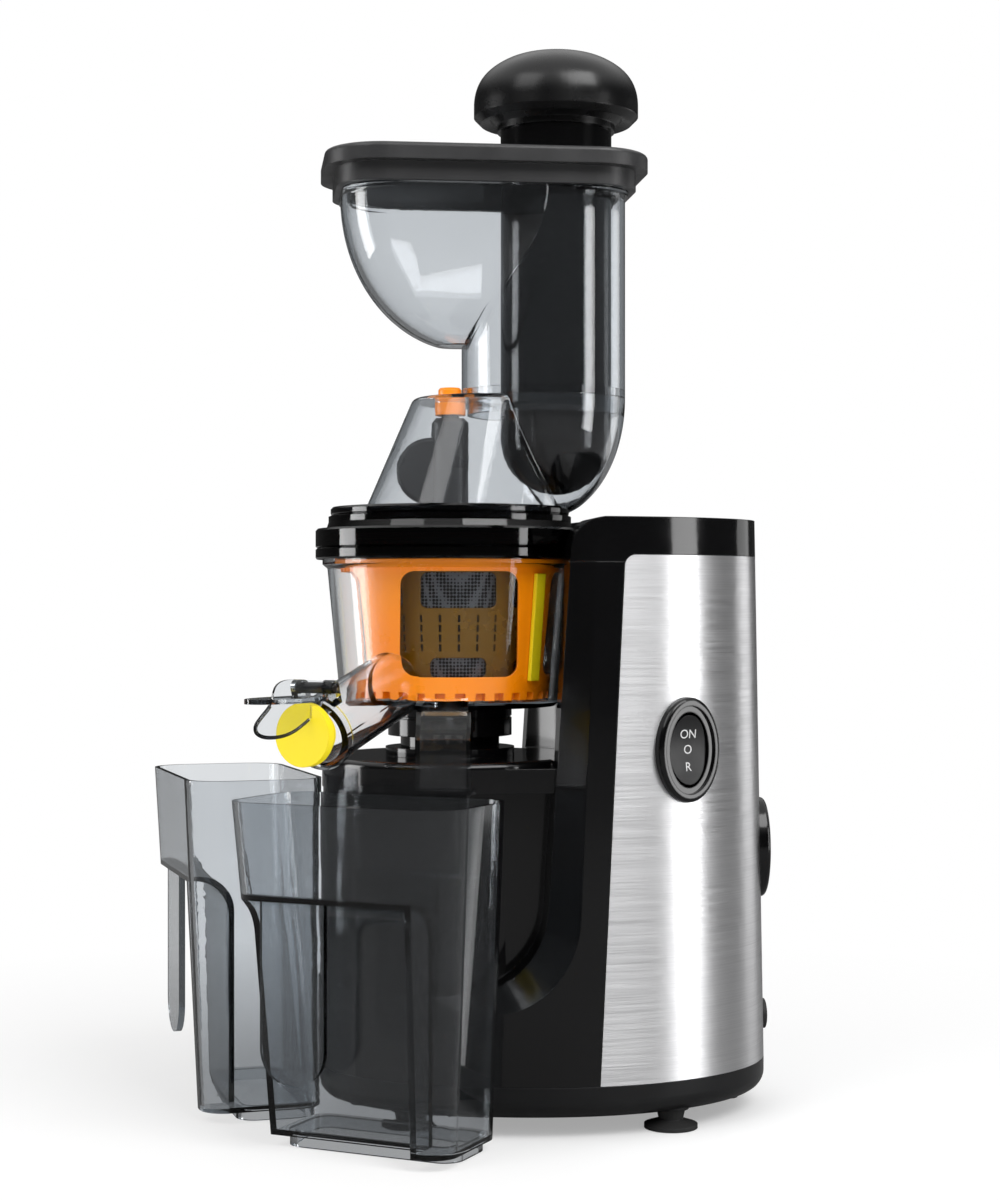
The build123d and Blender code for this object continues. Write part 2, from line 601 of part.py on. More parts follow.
def control_board():
    """Control board on edge behind the tower's front, with its parts and four posts."""
    y = DRUM_CLEAR + WALL + 6.0
    board = block((-28.0, 28.0), (y, y + 1.6), (172.0, 232.0))
    parts = block((-20.0, -6.0), (y + 1.6, y + 9.6), (180.0, 200.0))
    parts += block((4.0, 20.0), (y + 1.6, y + 7.6), (206.0, 222.0))
    standing = (Align.CENTER, Align.CENTER, Align.MIN)
    can = Pos(10.0, y + 1.6, 190.0) * Rot(-90, 0, 0) * Cylinder(6.0, 16.0, align=standing)
    wall = DRUM_CLEAR + WALL + SKIN_GAP
    face = math.sqrt(wall ** 2 - (BOARD_POST_X - 2.5) ** 2)
    for side in (-1, 1):
        x = side * BOARD_POST_X
        for z in BOARD_POST_Z:
            board += block((x - 2.5, x + 2.5), (face, y), (z - 2.5, z + 2.5))
    return board + parts + can


# ---------------------------------------------------------------- drum
def bowl_outer_radius(z):
    """Outer radius of the tapering bowl wall."""
    return cone_radius((BOWL_FOOT_RADIUS, BOWL_FLOOR_Z), (BOWL_TOP_RADIUS, BOWL_RIM_Z[0]), z)


def spout_plane():
    """Local frame of the spout's mouth: z out along the spout, y up."""
    turn = math.radians(SPOUT_TURN)
    slope = math.radians(SPOUT_SLOPE)
    flat = math.cos(slope)
    direction = Vector(math.sin(turn) * flat, -math.cos(turn) * flat, -math.sin(slope))
    origin = Vector(*SPOUT_ROOT) + direction * SPOUT_LENGTH
    return Plane(origin, x_dir=(math.cos(turn), math.sin(turn), 0), z_dir=direction)


def spout_tube(radius, back, front=0.0):
    """Round bar along the spout from behind its root to its mouth."""
    length = back + front
    bar = Cylinder(radius, length, align=(Align.CENTER, Align.CENTER, Align.MIN))
    return spout_plane().location * Pos(0, 0, -back) * bar


def chute_solid(inset=0.0):
    """Square duct from under the bowl's floor, out over the platform and down."""
    half = CHUTE_WIDTH / 2 - inset
    start = 22.0
    top = BOWL_FLOOR_Z + (9.0 if inset else 1.0)
    rise = CHUTE_HEIGHT / 2 - inset
    elbow_x, elbow_z = CHUTE_ELBOW
    low = CHUTE_MOUTH_Z - (1.0 if inset else 0.0)
    outer_x = elbow_x + rise + 2.0
    inner_x = elbow_x - rise + 2.0
    outline = Polyline((start, top), (start + 17.0, top), (elbow_x - 2.0, elbow_z + rise),
                       (outer_x, elbow_z - 3.0), (outer_x, low), (inner_x, low),
                       (inner_x, elbow_z - rise - 2.0), (start + inset, BOWL_FLOOR_Z - 8.0 + inset),
                       close=True)
    duct = extrude(Plane.XZ * make_face(outline), amount=half, both=True)
    return Rot(0, 0, -CHUTE_TURN) * duct


def juice_bowl():
    """Clear bowl with the juice spout and the pulp chute moulded on."""
    foot, top = BOWL_FOOT_RADIUS, BOWL_TOP_RADIUS
    low, rim_low, rim_top = BOWL_FLOOR_Z, BOWL_RIM_Z[0], BOWL_RIM_Z[1]
    shell = turned((0, low), (foot - 2.0, low), (foot, low + 2.0), (top, rim_low),
                   (BOWL_RIM_RADIUS, rim_low + 2.0), (BOWL_RIM_RADIUS, rim_top), (0, rim_top))
    shell += spout_tube(SPOUT_RADIUS, SPOUT_LENGTH + 9.0)
    lip = spout_plane().location * Pos(0, 0, -2.0) * Cylinder(SPOUT_RADIUS + 1.0, 4.0)
    shell += lip
    shell += chute_solid()
    shell += disc(HUB_RADIUS, BOWL_FLOOR_Z - 6.0, BOWL_FLOOR_Z + 1.0)
    floor_top = low + BOWL_FLOOR_THICK
    inner_foot = foot - BOWL_WALL
    inner_top = top - BOWL_WALL
    room = turned((0, floor_top), (inner_foot, floor_top), (inner_top, BOWL_LEDGE_Z),
                  (top, BOWL_LEDGE_Z), (top, rim_top + 1.0), (0, rim_top + 1.0))
    shell -= room
    shell -= spout_tube(SPOUT_RADIUS - SPOUT_WALL, SPOUT_LENGTH + 6.0, 6.0)
    shell -= chute_solid(CHUTE_WALL) - disc(18.5, low - 20.0, rim_top)
    hub_bore = AUGER_JOURNAL + RUN_GAP
    shell -= disc(hub_bore, BOWL_FLOOR_Z - 8.0, rim_top)
    for side in (-1, 1):
        hinge = Pos(side * 8.0, SPOUT_RADIUS + HINGE_RISE, -5.0) * Rot(0, 90, 0)
        web = Pos(side * 8.0, SPOUT_RADIUS + 0.6, -5.0) * Box(5.0, 7.0, 6.6)
        shell += spout_plane().location * (hinge * Cylinder(3.4, 5.0) + web)
        shell -= spout_plane().location * hinge * Cylinder(1.5 + RUN_GAP, 6.0)
    shell -= spout_tube(SPOUT_RADIUS - SPOUT_WALL, SPOUT_LENGTH + 6.0, 6.0)
    idler = idler_spot()
    shell += disc(2.8, floor_top, BRUSH_GEAR_TOP + 0.3, *idler)
    return shell


def idler_spot():
    """Centre of the idler between the auger's gear and the brush's ring gear."""
    reach = DRUM_MODULE * (AUGER_TEETH + IDLER_TEETH) / 2
    turn = math.radians(IDLER_TURN)
    return reach * math.cos(turn), reach * math.sin(turn)


def bowl_collar():
    """Black collar under the bowl that sits on the platform's seat."""
    low, high = COLLAR_Z
    ring = disc(COLLAR_RADIUS, low, high - SKIN_GAP) - disc(HUB_RADIUS + 0.6, low, high)
    groove = disc(COLLAR_RADIUS + 1.0, low + 8.0, low + 9.0)
    groove -= disc(COLLAR_RADIUS - 0.6, low + 8.0, low + 9.0)
    half = CHUTE_WIDTH / 2 + 0.4
    notch = Rot(0, 0, -CHUTE_TURN) * block((8.0, 60.0), (-half, half), (low + 3.0, high))
    return ring - groove - notch


def brush_idler():
    """Idler gear on a post of the bowl's floor."""
    x, y = idler_spot()
    span = (BOWL_FLOOR_Z + BOWL_FLOOR_THICK + 0.3, BRUSH_GEAR_TOP - 0.3)
    turn = IDLER_TURN + 180.0 + 180.0 / IDLER_TEETH
    return Pos(x, y, 0) * (gear(IDLER_TEETH, DRUM_MODULE, span, turn) - disc(2.8 + RUN_GAP, *span))


def brush_radius(z, offset=0.0):
    """Outer radius of the brush frame's cone, less an offset."""
    return cone_radius((BRUSH_FOOT_RADIUS, BRUSH_Z[0]), (BRUSH_TOP_RADIUS, BRUSH_Z[1]), z) - offset


def cone_shell(radius, low, high, wall):
    """Thin cone between two heights, from a radius function."""
    return turned((radius(low) - wall, low), (radius(low), low),
                  (radius(high), high), (radius(high) - wall, high))


def window_cutter(low, high, angle, reach, corner):
    """Radial prism with rounded corners for a window of a given angle."""
    width = 2 * reach * math.sin(math.radians(angle / 2))
    pane = Pos(0, (low + high) / 2) * RectangleRounded(width, high - low, corner)
    return extrude(Plane.YZ * pane, amount=2 * reach)


def brush_frame():
    """Orange brush frame: ring, four posts and a ring gear with notched foot."""
    low, high = BRUSH_Z
    cage = cone_shell(brush_radius, low, high, BRUSH_WALL)
    cage += turned((brush_radius(high) - 6.0, high - 2.6), (brush_radius(high) + 2.4, high - 2.6),
                   (brush_radius(high) + 2.4, high), (brush_radius(high) - 6.0, high))
    cage += turned((brush_radius(low) - 6.0, low), (brush_radius(low), low),
                   (brush_radius(BRUSH_GEAR_TOP), BRUSH_GEAR_TOP), (brush_radius(low) - 6.0, BRUSH_GEAR_TOP))
    cutter = window_cutter(WINDOW_Z[0], WINDOW_Z[1], WINDOW_ANGLE, BRUSH_FOOT_RADIUS + 2.0, 6.0)
    for copy in ring_of(cutter, WINDOW_COUNT):
        cage -= copy
    notch = block((BRUSH_FOOT_RADIUS - 4.0, BRUSH_FOOT_RADIUS + 4.0), (-2.2, 2.2), (low, low + 3.4))
    for copy in ring_of(notch, 32):
        cage -= copy
    teeth = AUGER_TEETH + 2 * IDLER_TEETH
    turn = IDLER_TURN + 180.0 / teeth
    space = gear(teeth, DRUM_MODULE, (low - 1.0, BRUSH_GEAR_TOP + 1.0), turn, -GEAR_BACKLASH)
    band = disc(brush_radius(low) - 4.0, low, BRUSH_GEAR_TOP)
    band -= disc(DRUM_MODULE * (teeth / 2 - 1), low, BRUSH_GEAR_TOP)
    return cage + (band - space)


def wiper_blades():
    """Two silicone strips clipped over opposite posts, just clear of bowl and strainer."""
    low, high = WINDOW_Z[0] - 2.0, WINDOW_Z[1] - 1.0
    points = ((brush_radius(low) + 0.2, low), (brush_radius(low) + 2.0, low),
              (brush_radius(high) + 2.0, high), (brush_radius(high) + 0.2, high))
    strip = extrude(Plane.XZ * make_face(Polyline(*points, close=True)), amount=3.0, both=True)
    return [Rot(0, 0, turn) * strip for turn in (45.0, 225.0)]


def strainer_radius(z, offset=0.0):
    """Outer radius of the strainer's cone, less an offset."""
    foot = (STRAINER_FOOT_RADIUS, STRAINER_Z[0])
    top = (STRAINER_TOP_RADIUS, STRAINER_Z[1])
    return cone_radius(foot, top, z) - offset


def strainer_frame():
    """Amber strainer basket: slotted middle band, framed mesh windows, floor and flange."""
    low, high = STRAINER_Z
    basket = cone_shell(strainer_radius, low, high + 3.0, STRAINER_WALL)
    floor_ring = disc(strainer_radius(low) - 0.5, low, low + 1.8)
    floor_ring -= disc(AUGER_JOURNAL + 11.0, low, low + 1.8)
    flange = disc(STRAINER_FLANGE_RADIUS, BOWL_LEDGE_Z + FIT_GAP, BOWL_LEDGE_Z + FIT_GAP + 2.0)
    flange -= disc(strainer_radius(high) - 1.0, BOWL_LEDGE_Z, BOWL_LEDGE_Z + 4.0)
    basket += floor_ring
    basket += flange
    basket -= Rot(0, 0, -CHUTE_TURN) * disc(9.0, low, low + 1.8, 29.0, 0.0)
    for (band_low, band_high), angle in zip(MESH_BANDS, (38.0, 52.0)):
        cutter = window_cutter(band_low, band_high, angle, STRAINER_FOOT_RADIUS, 3.0)
        for copy in ring_of(cutter, 6):
            basket -= copy
    gap = MESH_BANDS[1][0] - MESH_BANDS[0][1]
    pitch = (gap - 5.0) / SLOT_ROWS
    slots = []
    for row in range(SLOT_ROWS):
        z = MESH_BANDS[0][1] + 3.0 + pitch * row
        reach = (STRAINER_FOOT_RADIUS - 6.0, STRAINER_TOP_RADIUS + 2.0)
        slot = block(reach, (-0.5, 0.5), (z, z + pitch - 1.2))
        slots += ring_of(slot, SLOT_COLUMNS)
    return basket - slots


def strainer_mesh():
    """Two perforated steel bands behind the strainer's windows."""
    bands = []
    for low, high in MESH_BANDS:
        foot = strainer_radius(low - 1.5) - STRAINER_WALL - SKIN_GAP
        top = strainer_radius(high + 1.5) - STRAINER_WALL - SKIN_GAP
        bands.append(turned((foot - 0.5, low - 1.5), (foot, low - 1.5),
                            (top, high + 1.5), (top - 0.5, high + 1.5)))
    return bands


def flight(turn):
    """One helical flight of the auger, tapering with the strainer."""
    low, high = AUGER_Z
    steps = 9
    sections = []
    for step in range(steps):
        share = step / (steps - 1)
        z = low + share * (high - low)
        reach = AUGER_FLIGHT_FOOT + share * (AUGER_FLIGHT_TOP - AUGER_FLIGHT_FOOT)
        root = AUGER_CORE_FOOT - 6.0 + share * (AUGER_CORE_TOP - AUGER_CORE_FOOT)
        fin = Pos((root + reach) / 2, 0) * RectangleRounded(reach - root, 9.0 - 3.0 * share, 2.0)
        sections.append(Pos(0, 0, z) * Rot(0, 0, turn + 200.0 * share) * fin)
    return loft(sections)


def auger():
    """Squeezing screw: tapered core, two helical flights, boss with a cutting lobe, gear foot."""
    low, high = AUGER_Z
    boss = AUGER_BOSS_RADIUS
    foot = BOWL_FLOOR_Z - 5.0
    core = turned((0, foot), (AUGER_JOURNAL, foot), (AUGER_JOURNAL, BRUSH_GEAR_TOP),
                  (AUGER_CORE_FOOT, BRUSH_GEAR_TOP + 0.8), (AUGER_CORE_FOOT, low),
                  (AUGER_CORE_TOP, high), (boss, high + 12.0),
                  (boss, AUGER_BOSS_TOP - 2.0), (boss - 2.0, AUGER_BOSS_TOP),
                  (AUGER_PIN_RADIUS, AUGER_BOSS_TOP), (AUGER_PIN_RADIUS, AUGER_PIN_TOP), (0, AUGER_PIN_TOP))
    screw = core + flight(20.0) + flight(200.0)
    lobe = Pos(0, LOBE_CENTRE[0], LOBE_CENTRE[1]) * Rot(0, 90, 0) * Cylinder(LOBE_RADIUS, LOBE_THICK)
    screw += fillet(lobe.edges().filter_by(GeomType.CIRCLE), 2.0)
    return screw - socket_bar(SPINDLE_HEX / 2 + 2.0, SPINDLE_TOP + 2.0)


def socket_bar(radius, top):
    """Hexagonal bar up the auger's foot."""
    low = BOWL_FLOOR_Z - 6.0
    return Pos(0, 0, low) * extrude(RegularPolygon(radius, 6, major_radius=False), amount=top - low)


def auger_insert():
    """Steel hexagon socket pressed into the auger's foot."""
    outer = socket_bar(SPINDLE_HEX / 2 + 2.0 - SKIN_GAP, SPINDLE_TOP + 2.0 - SKIN_GAP)
    low = BOWL_FLOOR_Z - 5.0
    outer &= disc(20.0, low, SPINDLE_TOP + 2.0)
    return outer - socket_bar(SPINDLE_HEX / 2 + FIT_GAP, SPINDLE_TOP + 0.5)


def auger_gear():
    """Gear pressed on the auger's journal, which drives the brush's idler."""
    span = (BOWL_FLOOR_Z + BOWL_FLOOR_THICK + FIT_GAP, BRUSH_GEAR_TOP - SKIN_GAP)
    wheel = gear(AUGER_TEETH, DRUM_MODULE, span, IDLER_TURN)
    return wheel - disc(AUGER_JOURNAL + SKIN_GAP, *span)


# ---------------------------------------------------------------- lid, hopper, pusher
def lid_form(inset=0.0):
    """Leaning cone of the lid with the chute's rounded elbow behind it."""
    low = LID_RING_Z[1] + 3.0
    foot_y, foot_r = LID_FOOT
    head_y, head_r = LID_HEAD
    base = Pos(0, foot_y, low) * Circle(foot_r - inset)
    head = Pos(0, head_y, LID_TOP - inset) * Circle(head_r - inset)
    cone = loft([base, head], ruled=True)
    if inset == 0.0:
        cone = fillet(cone.edges().group_by(Axis.Z)[-1], 4.0)
    reach = TUBE_RADIUS - inset
    drop = ELBOW_DROP - inset
    turns = [math.radians(step * 11.25) for step in range(8)]
    arc = [(reach * math.cos(turn), LID_TOP - drop * math.sin(turn)) for turn in turns]
    quarter = Spline(*arc, (0, LID_TOP - drop), tangents=((0, -1), (-1, 0)))
    rest = Polyline((reach, LID_TOP), (0, LID_TOP), (0, LID_TOP - drop))
    elbow = Pos(0, TUBE_Y, 0) * revolve(Plane.XZ * make_face([quarter, rest]), Axis.Z)
    return cone + elbow


def lid():
    """Clear lid: cone, elbow, spigot for the hopper's tube and the auger's top hole."""
    low = LID_RING_Z[1] + 3.0
    form = lid_form()
    form += disc(LID_TIER_RADIUS - 3.0, low, LID_TIER_TOP - 2.0)
    room = lid_form(LID_WALL) + disc(LID_FOOT[1] - LID_WALL, low - 1.0, low + 1.0, 0.0, LID_FOOT[0])
    form -= room
    form -= disc(TUBE_RADIUS - TUBE_WALL + FIT_GAP, LID_TOP - SOCKET_DEPTH, LID_TOP, 0.0, TUBE_Y)
    form -= disc(7.0 + FACE_GAP, LID_TOP - 2 * LID_WALL, LID_TOP + 1.0)
    return form


def lid_ring():
    """Dark stepped ring that carries the lid and reaches down over the bowl's rim."""
    skirt_low, skirt_top = LID_RING_Z
    inner = LID_TIER_RADIUS - 3.0 + SKIN_GAP
    shoulder = skirt_top + 3.0
    cone_foot = LID_FOOT[0] + LID_FOOT[1] + 1.0
    seat = BOWL_RIM_Z[1] + 3.0
    skirt, tier = LID_RING_RADIUS, LID_TIER_RADIUS
    ring = turned((LID_RING_INNER, skirt_low), (skirt - 0.6, skirt_low), (skirt, skirt_low + 0.8),
                  (skirt, skirt_low + 4.5), (skirt - 0.8, skirt_low + 5.2), (skirt, skirt_low + 5.9),
                  (skirt, skirt_top - 1.0), (skirt - 1.0, skirt_top), (tier + 2.0, skirt_top),
                  (tier + 1.0, shoulder), (tier + 1.0, shoulder + 2.6), (tier - 0.4, shoulder + 3.2),
                  (tier, shoulder + 4.0), (tier, LID_TIER_TOP - 1.0), (tier - 1.0, LID_TIER_TOP),
                  (inner, LID_TIER_TOP), (inner, shoulder), (cone_foot, shoulder - SKIN_GAP),
                  (cone_foot, seat), (LID_RING_INNER, seat))
    return ring - lid_form(-SKIN_GAP)


def lid_gasket():
    """Red sealing ring between the lid's ring and the bowl's rim."""
    low = BOWL_RIM_Z[1] + FIT_GAP
    high = BOWL_RIM_Z[1] + 3.0 - SKIN_GAP
    return disc(LID_RING_INNER - 0.3, low, high) - disc(BOWL_TOP_RADIUS - 2.0, low, high)


def auger_bush():
    """Orange bush in the lid's top that steadies the auger's pin."""
    cap_top = LID_TOP + 4.8
    bore = AUGER_PIN_RADIUS + RUN_GAP
    return turned((bore, LID_TOP - 8.0), (7.0, LID_TOP - 8.0), (7.0, LID_TOP), (5.4, LID_TOP),
                  (5.4, cap_top - 1.0), (4.6, cap_top), (0, cap_top),
                  (0, AUGER_PIN_TOP + 0.5), (bore, AUGER_PIN_TOP + 0.5))


def scoop(inset=0.0):
    """Ship's bow form of the hopper's tray, rounded sections that shrink downwards."""
    top = HOPPER_RIM_Z[0]
    sections = []
    for share in (0.0, 0.35, 0.62, 0.84, 0.97):
        swell = math.sqrt(1 - share ** 2)
        half_length = SCOOP_HALF_LENGTH * swell - inset
        half_width = SCOOP_HALF_WIDTH * swell - inset
        corner = 0.92 * min(half_width, half_length)
        z = top - share * (SCOOP_DEPTH - inset)
        sections.append(Pos(0, SCOOP_CENTRE_Y, z) * RectangleRounded(2 * half_width, 2 * half_length, corner))
    return loft(sections)


def rim_plate(length, width, corner, low, high):
    """Rounded rectangle of the hopper's rim between two heights."""
    face = Pos(0, RIM_CENTRE_Y, low) * RectangleRounded(width, length, corner)
    return extrude(face, amount=high - low)


def hopper():
    """Clear hopper: tray, straight feed tube and the lip that the rim snaps on."""
    rim_low = HOPPER_RIM_Z[0]
    lip_top = HOPPER_RIM_Z[1] - 3.0
    length = RIM_LENGTH - 2 * RIM_STEP - 6.0
    width = RIM_WIDTH - 2 * RIM_STEP - 6.0
    corner = RIM_CORNER - RIM_STEP
    shell = scoop()
    shell += rim_plate(length, width, corner, rim_low - 2.0, lip_top)
    shell += disc(TUBE_RADIUS, LID_TOP + FIT_GAP, rim_low, 0.0, TUBE_Y)
    spigot = TUBE_RADIUS - TUBE_WALL
    shell += disc(spigot, LID_TOP - SOCKET_DEPTH + FIT_GAP, LID_TOP + FIT_GAP, 0.0, TUBE_Y)
    room = scoop(TUBE_WALL)
    inner_length = length - 2 * TUBE_WALL
    inner_width = width - 2 * TUBE_WALL
    room += rim_plate(inner_length, inner_width, corner - TUBE_WALL, rim_low, lip_top + 1.0)
    shell -= room
    shell -= disc(spigot, LID_TOP + 4.0, lip_top + 1.0, 0.0, TUBE_Y)
    return shell - disc(spigot - TUBE_WALL, LID_TOP - SOCKET_DEPTH, LID_TOP + 5.0, 0.0, TUBE_Y)


def hopper_rim():
    """Black two-tier rim round the hopper's mouth."""
    low, high = HOPPER_RIM_Z
    middle = (low + high) / 2
    upper = rim_plate(RIM_LENGTH, RIM_WIDTH, RIM_CORNER, middle + 0.5, high)
    upper = fillet(upper.edges().group_by(Axis.Z)[-1], 2.0)
    step_length = RIM_LENGTH - 2 * RIM_STEP
    step_width = RIM_WIDTH - 2 * RIM_STEP
    lower = rim_plate(step_length, step_width, RIM_CORNER - RIM_STEP, low + 0.4, middle + 1.0)
    length = RIM_LENGTH - 2 * RIM_STEP - 6.0 + 2 * SKIN_GAP
    width = RIM_WIDTH - 2 * RIM_STEP - 6.0 + 2 * SKIN_GAP
    corner = RIM_CORNER - RIM_STEP
    pocket = rim_plate(length, width, corner, low, high - 3.0 + SKIN_GAP)
    mouth = rim_plate(length - 8.0, width - 8.0, corner - 3.0, low, high + 1.0)
    return upper + lower - pocket - mouth


def pusher_stem():
    """Hollow black plunger with a rounded end, closed at the foot."""
    outer_low = PUSHER_BOTTOM
    radius = PUSHER_RADIUS
    halfway = (radius * 0.7071, outer_low + radius * 0.2929)
    arc = ThreePointArc((0, outer_low), halfway, (radius, outer_low + radius))
    sides = Polyline((radius, outer_low + radius), (radius, KNOB_Z[0]), (0, KNOB_Z[0]), (0, outer_low))
    bar = revolve(Plane.XZ * make_face([arc, sides]), Axis.Z)
    inner = radius - PUSHER_WALL
    bore = disc(inner, outer_low + radius, KNOB_Z[0])
    return Pos(0, PUSHER_Y, 0) * (bar - bore)


def pusher_knob():
    """Mushroom knob that the hand presses on."""
    low, high = KNOB_Z
    skirt = low + 6.0
    dome = Spline((KNOB_RADIUS, skirt + 6.0), (KNOB_RADIUS * 0.72, high - 6.0), (0, high),
                  tangents=((0, 1), (-1, 0)))
    under = Polyline((0, high), (0, low), (PUSHER_RADIUS + 1.5, low), (PUSHER_RADIUS + 1.5, low + 3.0),
                     (PUSHER_RADIUS + 5.0, skirt), (KNOB_RADIUS - 3.0, skirt - 2.0),
                     (KNOB_RADIUS, skirt + 1.0), (KNOB_RADIUS, skirt + 6.0))
    knob = revolve(Plane.XZ * make_face([dome, under]), Axis.Z)
    hollow = disc(PUSHER_RADIUS - PUSHER_WALL, low - 1.0, high - 14.0)
    return Pos(0, PUSHER_Y, SKIN_GAP) * (knob - hollow)


# ---------------------------------------------------------------- spout cap
def as_opened(piece):
    """Turn a piece of the cap about the hinge from closed to its stored place."""
    top = SPOUT_RADIUS + HINGE_RISE
    return spout_plane().location * Pos(0, top, -5.0) * Rot(-CAP_OPEN, 0, 0) * Pos(0, -top, 5.0) * piece


def spout_cap():
    """Clear drip cap: hinge barrel, arm, seal plate, arched wings and a thumb blade."""
    top = SPOUT_RADIUS + HINGE_RISE
    radius = 13.5
    sleeve = Cylinder(radius, CAP_REACH) - Cylinder(radius - 1.6, CAP_REACH)
    wing = Pos(0, top - radius, CAP_REACH / 2) * sleeve
    side = Spline((top + 1.0, 0.6), (top + 1.0, CAP_REACH - 9.0), (12.0, CAP_REACH - 4.0),
                  (0.0, CAP_REACH - 0.5), (-6.4, CAP_REACH - 7.0), (-3.0, 9.0), (8.0, 1.4),
                  periodic=True)
    wing &= extrude(Plane.YZ * make_face(side), amount=20.0, both=True)
    blade = Plane.XZ * (Pos(0, CAP_BLADE / 2 + 2.0) * Ellipse(radius - 0.6, CAP_BLADE / 2))
    blade = Pos(0, 8.6, 0) * extrude(blade, amount=1.8)
    arm = block((-4.5, 4.5), (top - 2.6, top - 0.2), (-5.0, 5.0))
    arm += block((-4.5, 4.5), (6.0, top - 0.2), (4.6, 6.4))
    plate = Pos(0, -1.0, 5.5) * Cylinder(9.0, 1.8)
    barrel = Pos(0, top, -5.0) * Rot(0, 90, 0) * Cylinder(2.8, 10.2)
    cap = wing + blade + arm + plate + barrel
    cap -= extrude(Circle(SPOUT_RADIUS - 1.4 + SKIN_GAP), amount=FACE_GAP + 4.4 + SKIN_GAP)
    return as_opened(cap - Pos(0, top, -5.0) * Rot(0, 90, 0) * Cylinder(1.5 + RUN_GAP, 12.0))


def spout_seal():
    """Yellow silicone disc on the cap that closes the mouth, with its plug."""
    face = Pos(0, 0, FACE_GAP) * extrude(Circle(SPOUT_RADIUS - 1.4), amount=4.4)
    plug = Pos(0, 0, -7.0) * extrude(Circle(SPOUT_RADIUS - SPOUT_WALL - 3.2), amount=7.2)
    return as_opened(face + plug)


def spout_pin():
    """Hinge pin of the spout cap."""
    pin = Pos(0, SPOUT_RADIUS + HINGE_RISE, -5.0) * Rot(0, 90, 0) * Cylinder(1.5, 21.0)
    return spout_plane().location * pin


# ---------------------------------------------------------------- cups
def cup_form(height, inset=0.0):
    """Outer form of a cup, handle side towards +Y: loft from foot to rim less the grip recess."""
    foot_length, foot_width = CUP_FOOT_SIZE
    rim_length, rim_width = CUP_RIM_SIZE
    low = CUP_FOOT + inset
    high = height + (1.0 if inset else 0.0)
    foot = RectangleRounded(foot_length - 2 * inset, foot_width - 2 * inset, CUP_FOOT_CORNER - inset)
    foot = Pos(CUP_FOOT_SHIFT, foot_width / 2 + 0.5, low) * foot
    rim = RectangleRounded(rim_length - 2 * inset, rim_width - 2 * inset, CUP_RIM_CORNER - inset)
    rim = Pos(CUP_RIM_SHIFT, rim_width / 2, high) * rim
    body = loft([foot, rim], ruled=True)
    wall_y = CUP_RECESS - inset
    ledge = CUP_SHOULDER_Z + inset
    edge = FilletPolyline((wall_y, -5.0), (wall_y, ledge), (FAR, ledge + 4.0), radius=CUP_LEDGE_RADIUS)
    rest = Polyline((FAR, ledge + 4.0), (FAR, -5.0), (wall_y, -5.0))
    recess = side_slab([edge, rest], FAR) & block((CUP_RECESS_END - inset, FAR), (0.0, FAR), (-10.0, FAR))
    return body - recess


def cup(height):
    """Clear cup with a grip recess, a hanging handle tongue and a foot ring."""
    foot_length, foot_width = CUP_FOOT_SIZE
    shell = cup_form(height) - cup_form(height, CUP_WALL)
    ring_centre = Pos(CUP_FOOT_SHIFT, CUP_RECESS / 2 + 0.5, 0)
    outer_ring = RectangleRounded(foot_length - 8.0, CUP_RECESS - 7.0, 9.0)
    inner_ring = RectangleRounded(foot_length - 13.0, CUP_RECESS - 12.0, 7.0)
    ring = extrude(ring_centre * outer_ring, amount=CUP_FOOT)
    ring -= extrude(ring_centre * inner_ring, amount=CUP_FOOT)
    shell += ring
    tongue_top = CUP_SHOULDER_Z + 6.0
    tongue_low = 30.0
    strap = SlotOverall(tongue_top - tongue_low + 24.0, 31.0, rotation=90)
    outline = Plane.XZ * Pos(18.5, (tongue_top + tongue_low) / 2) * strap
    tongue = Pos(0, foot_width + 2.2, 12.0) * extrude(outline, amount=3.0)
    tongue &= block((-FAR, FAR), (0.0, FAR), (0.0, tongue_top))
    return shell + (tongue - cup_form(height, CUP_WALL))


def place_cup(piece, turn, back, shift):
    """Stand a cup at a distance from the drum axis, handle outwards."""
    return Rot(0, 0, turn) * Pos(back, shift, 0) * Rot(0, 0, -90) * piece


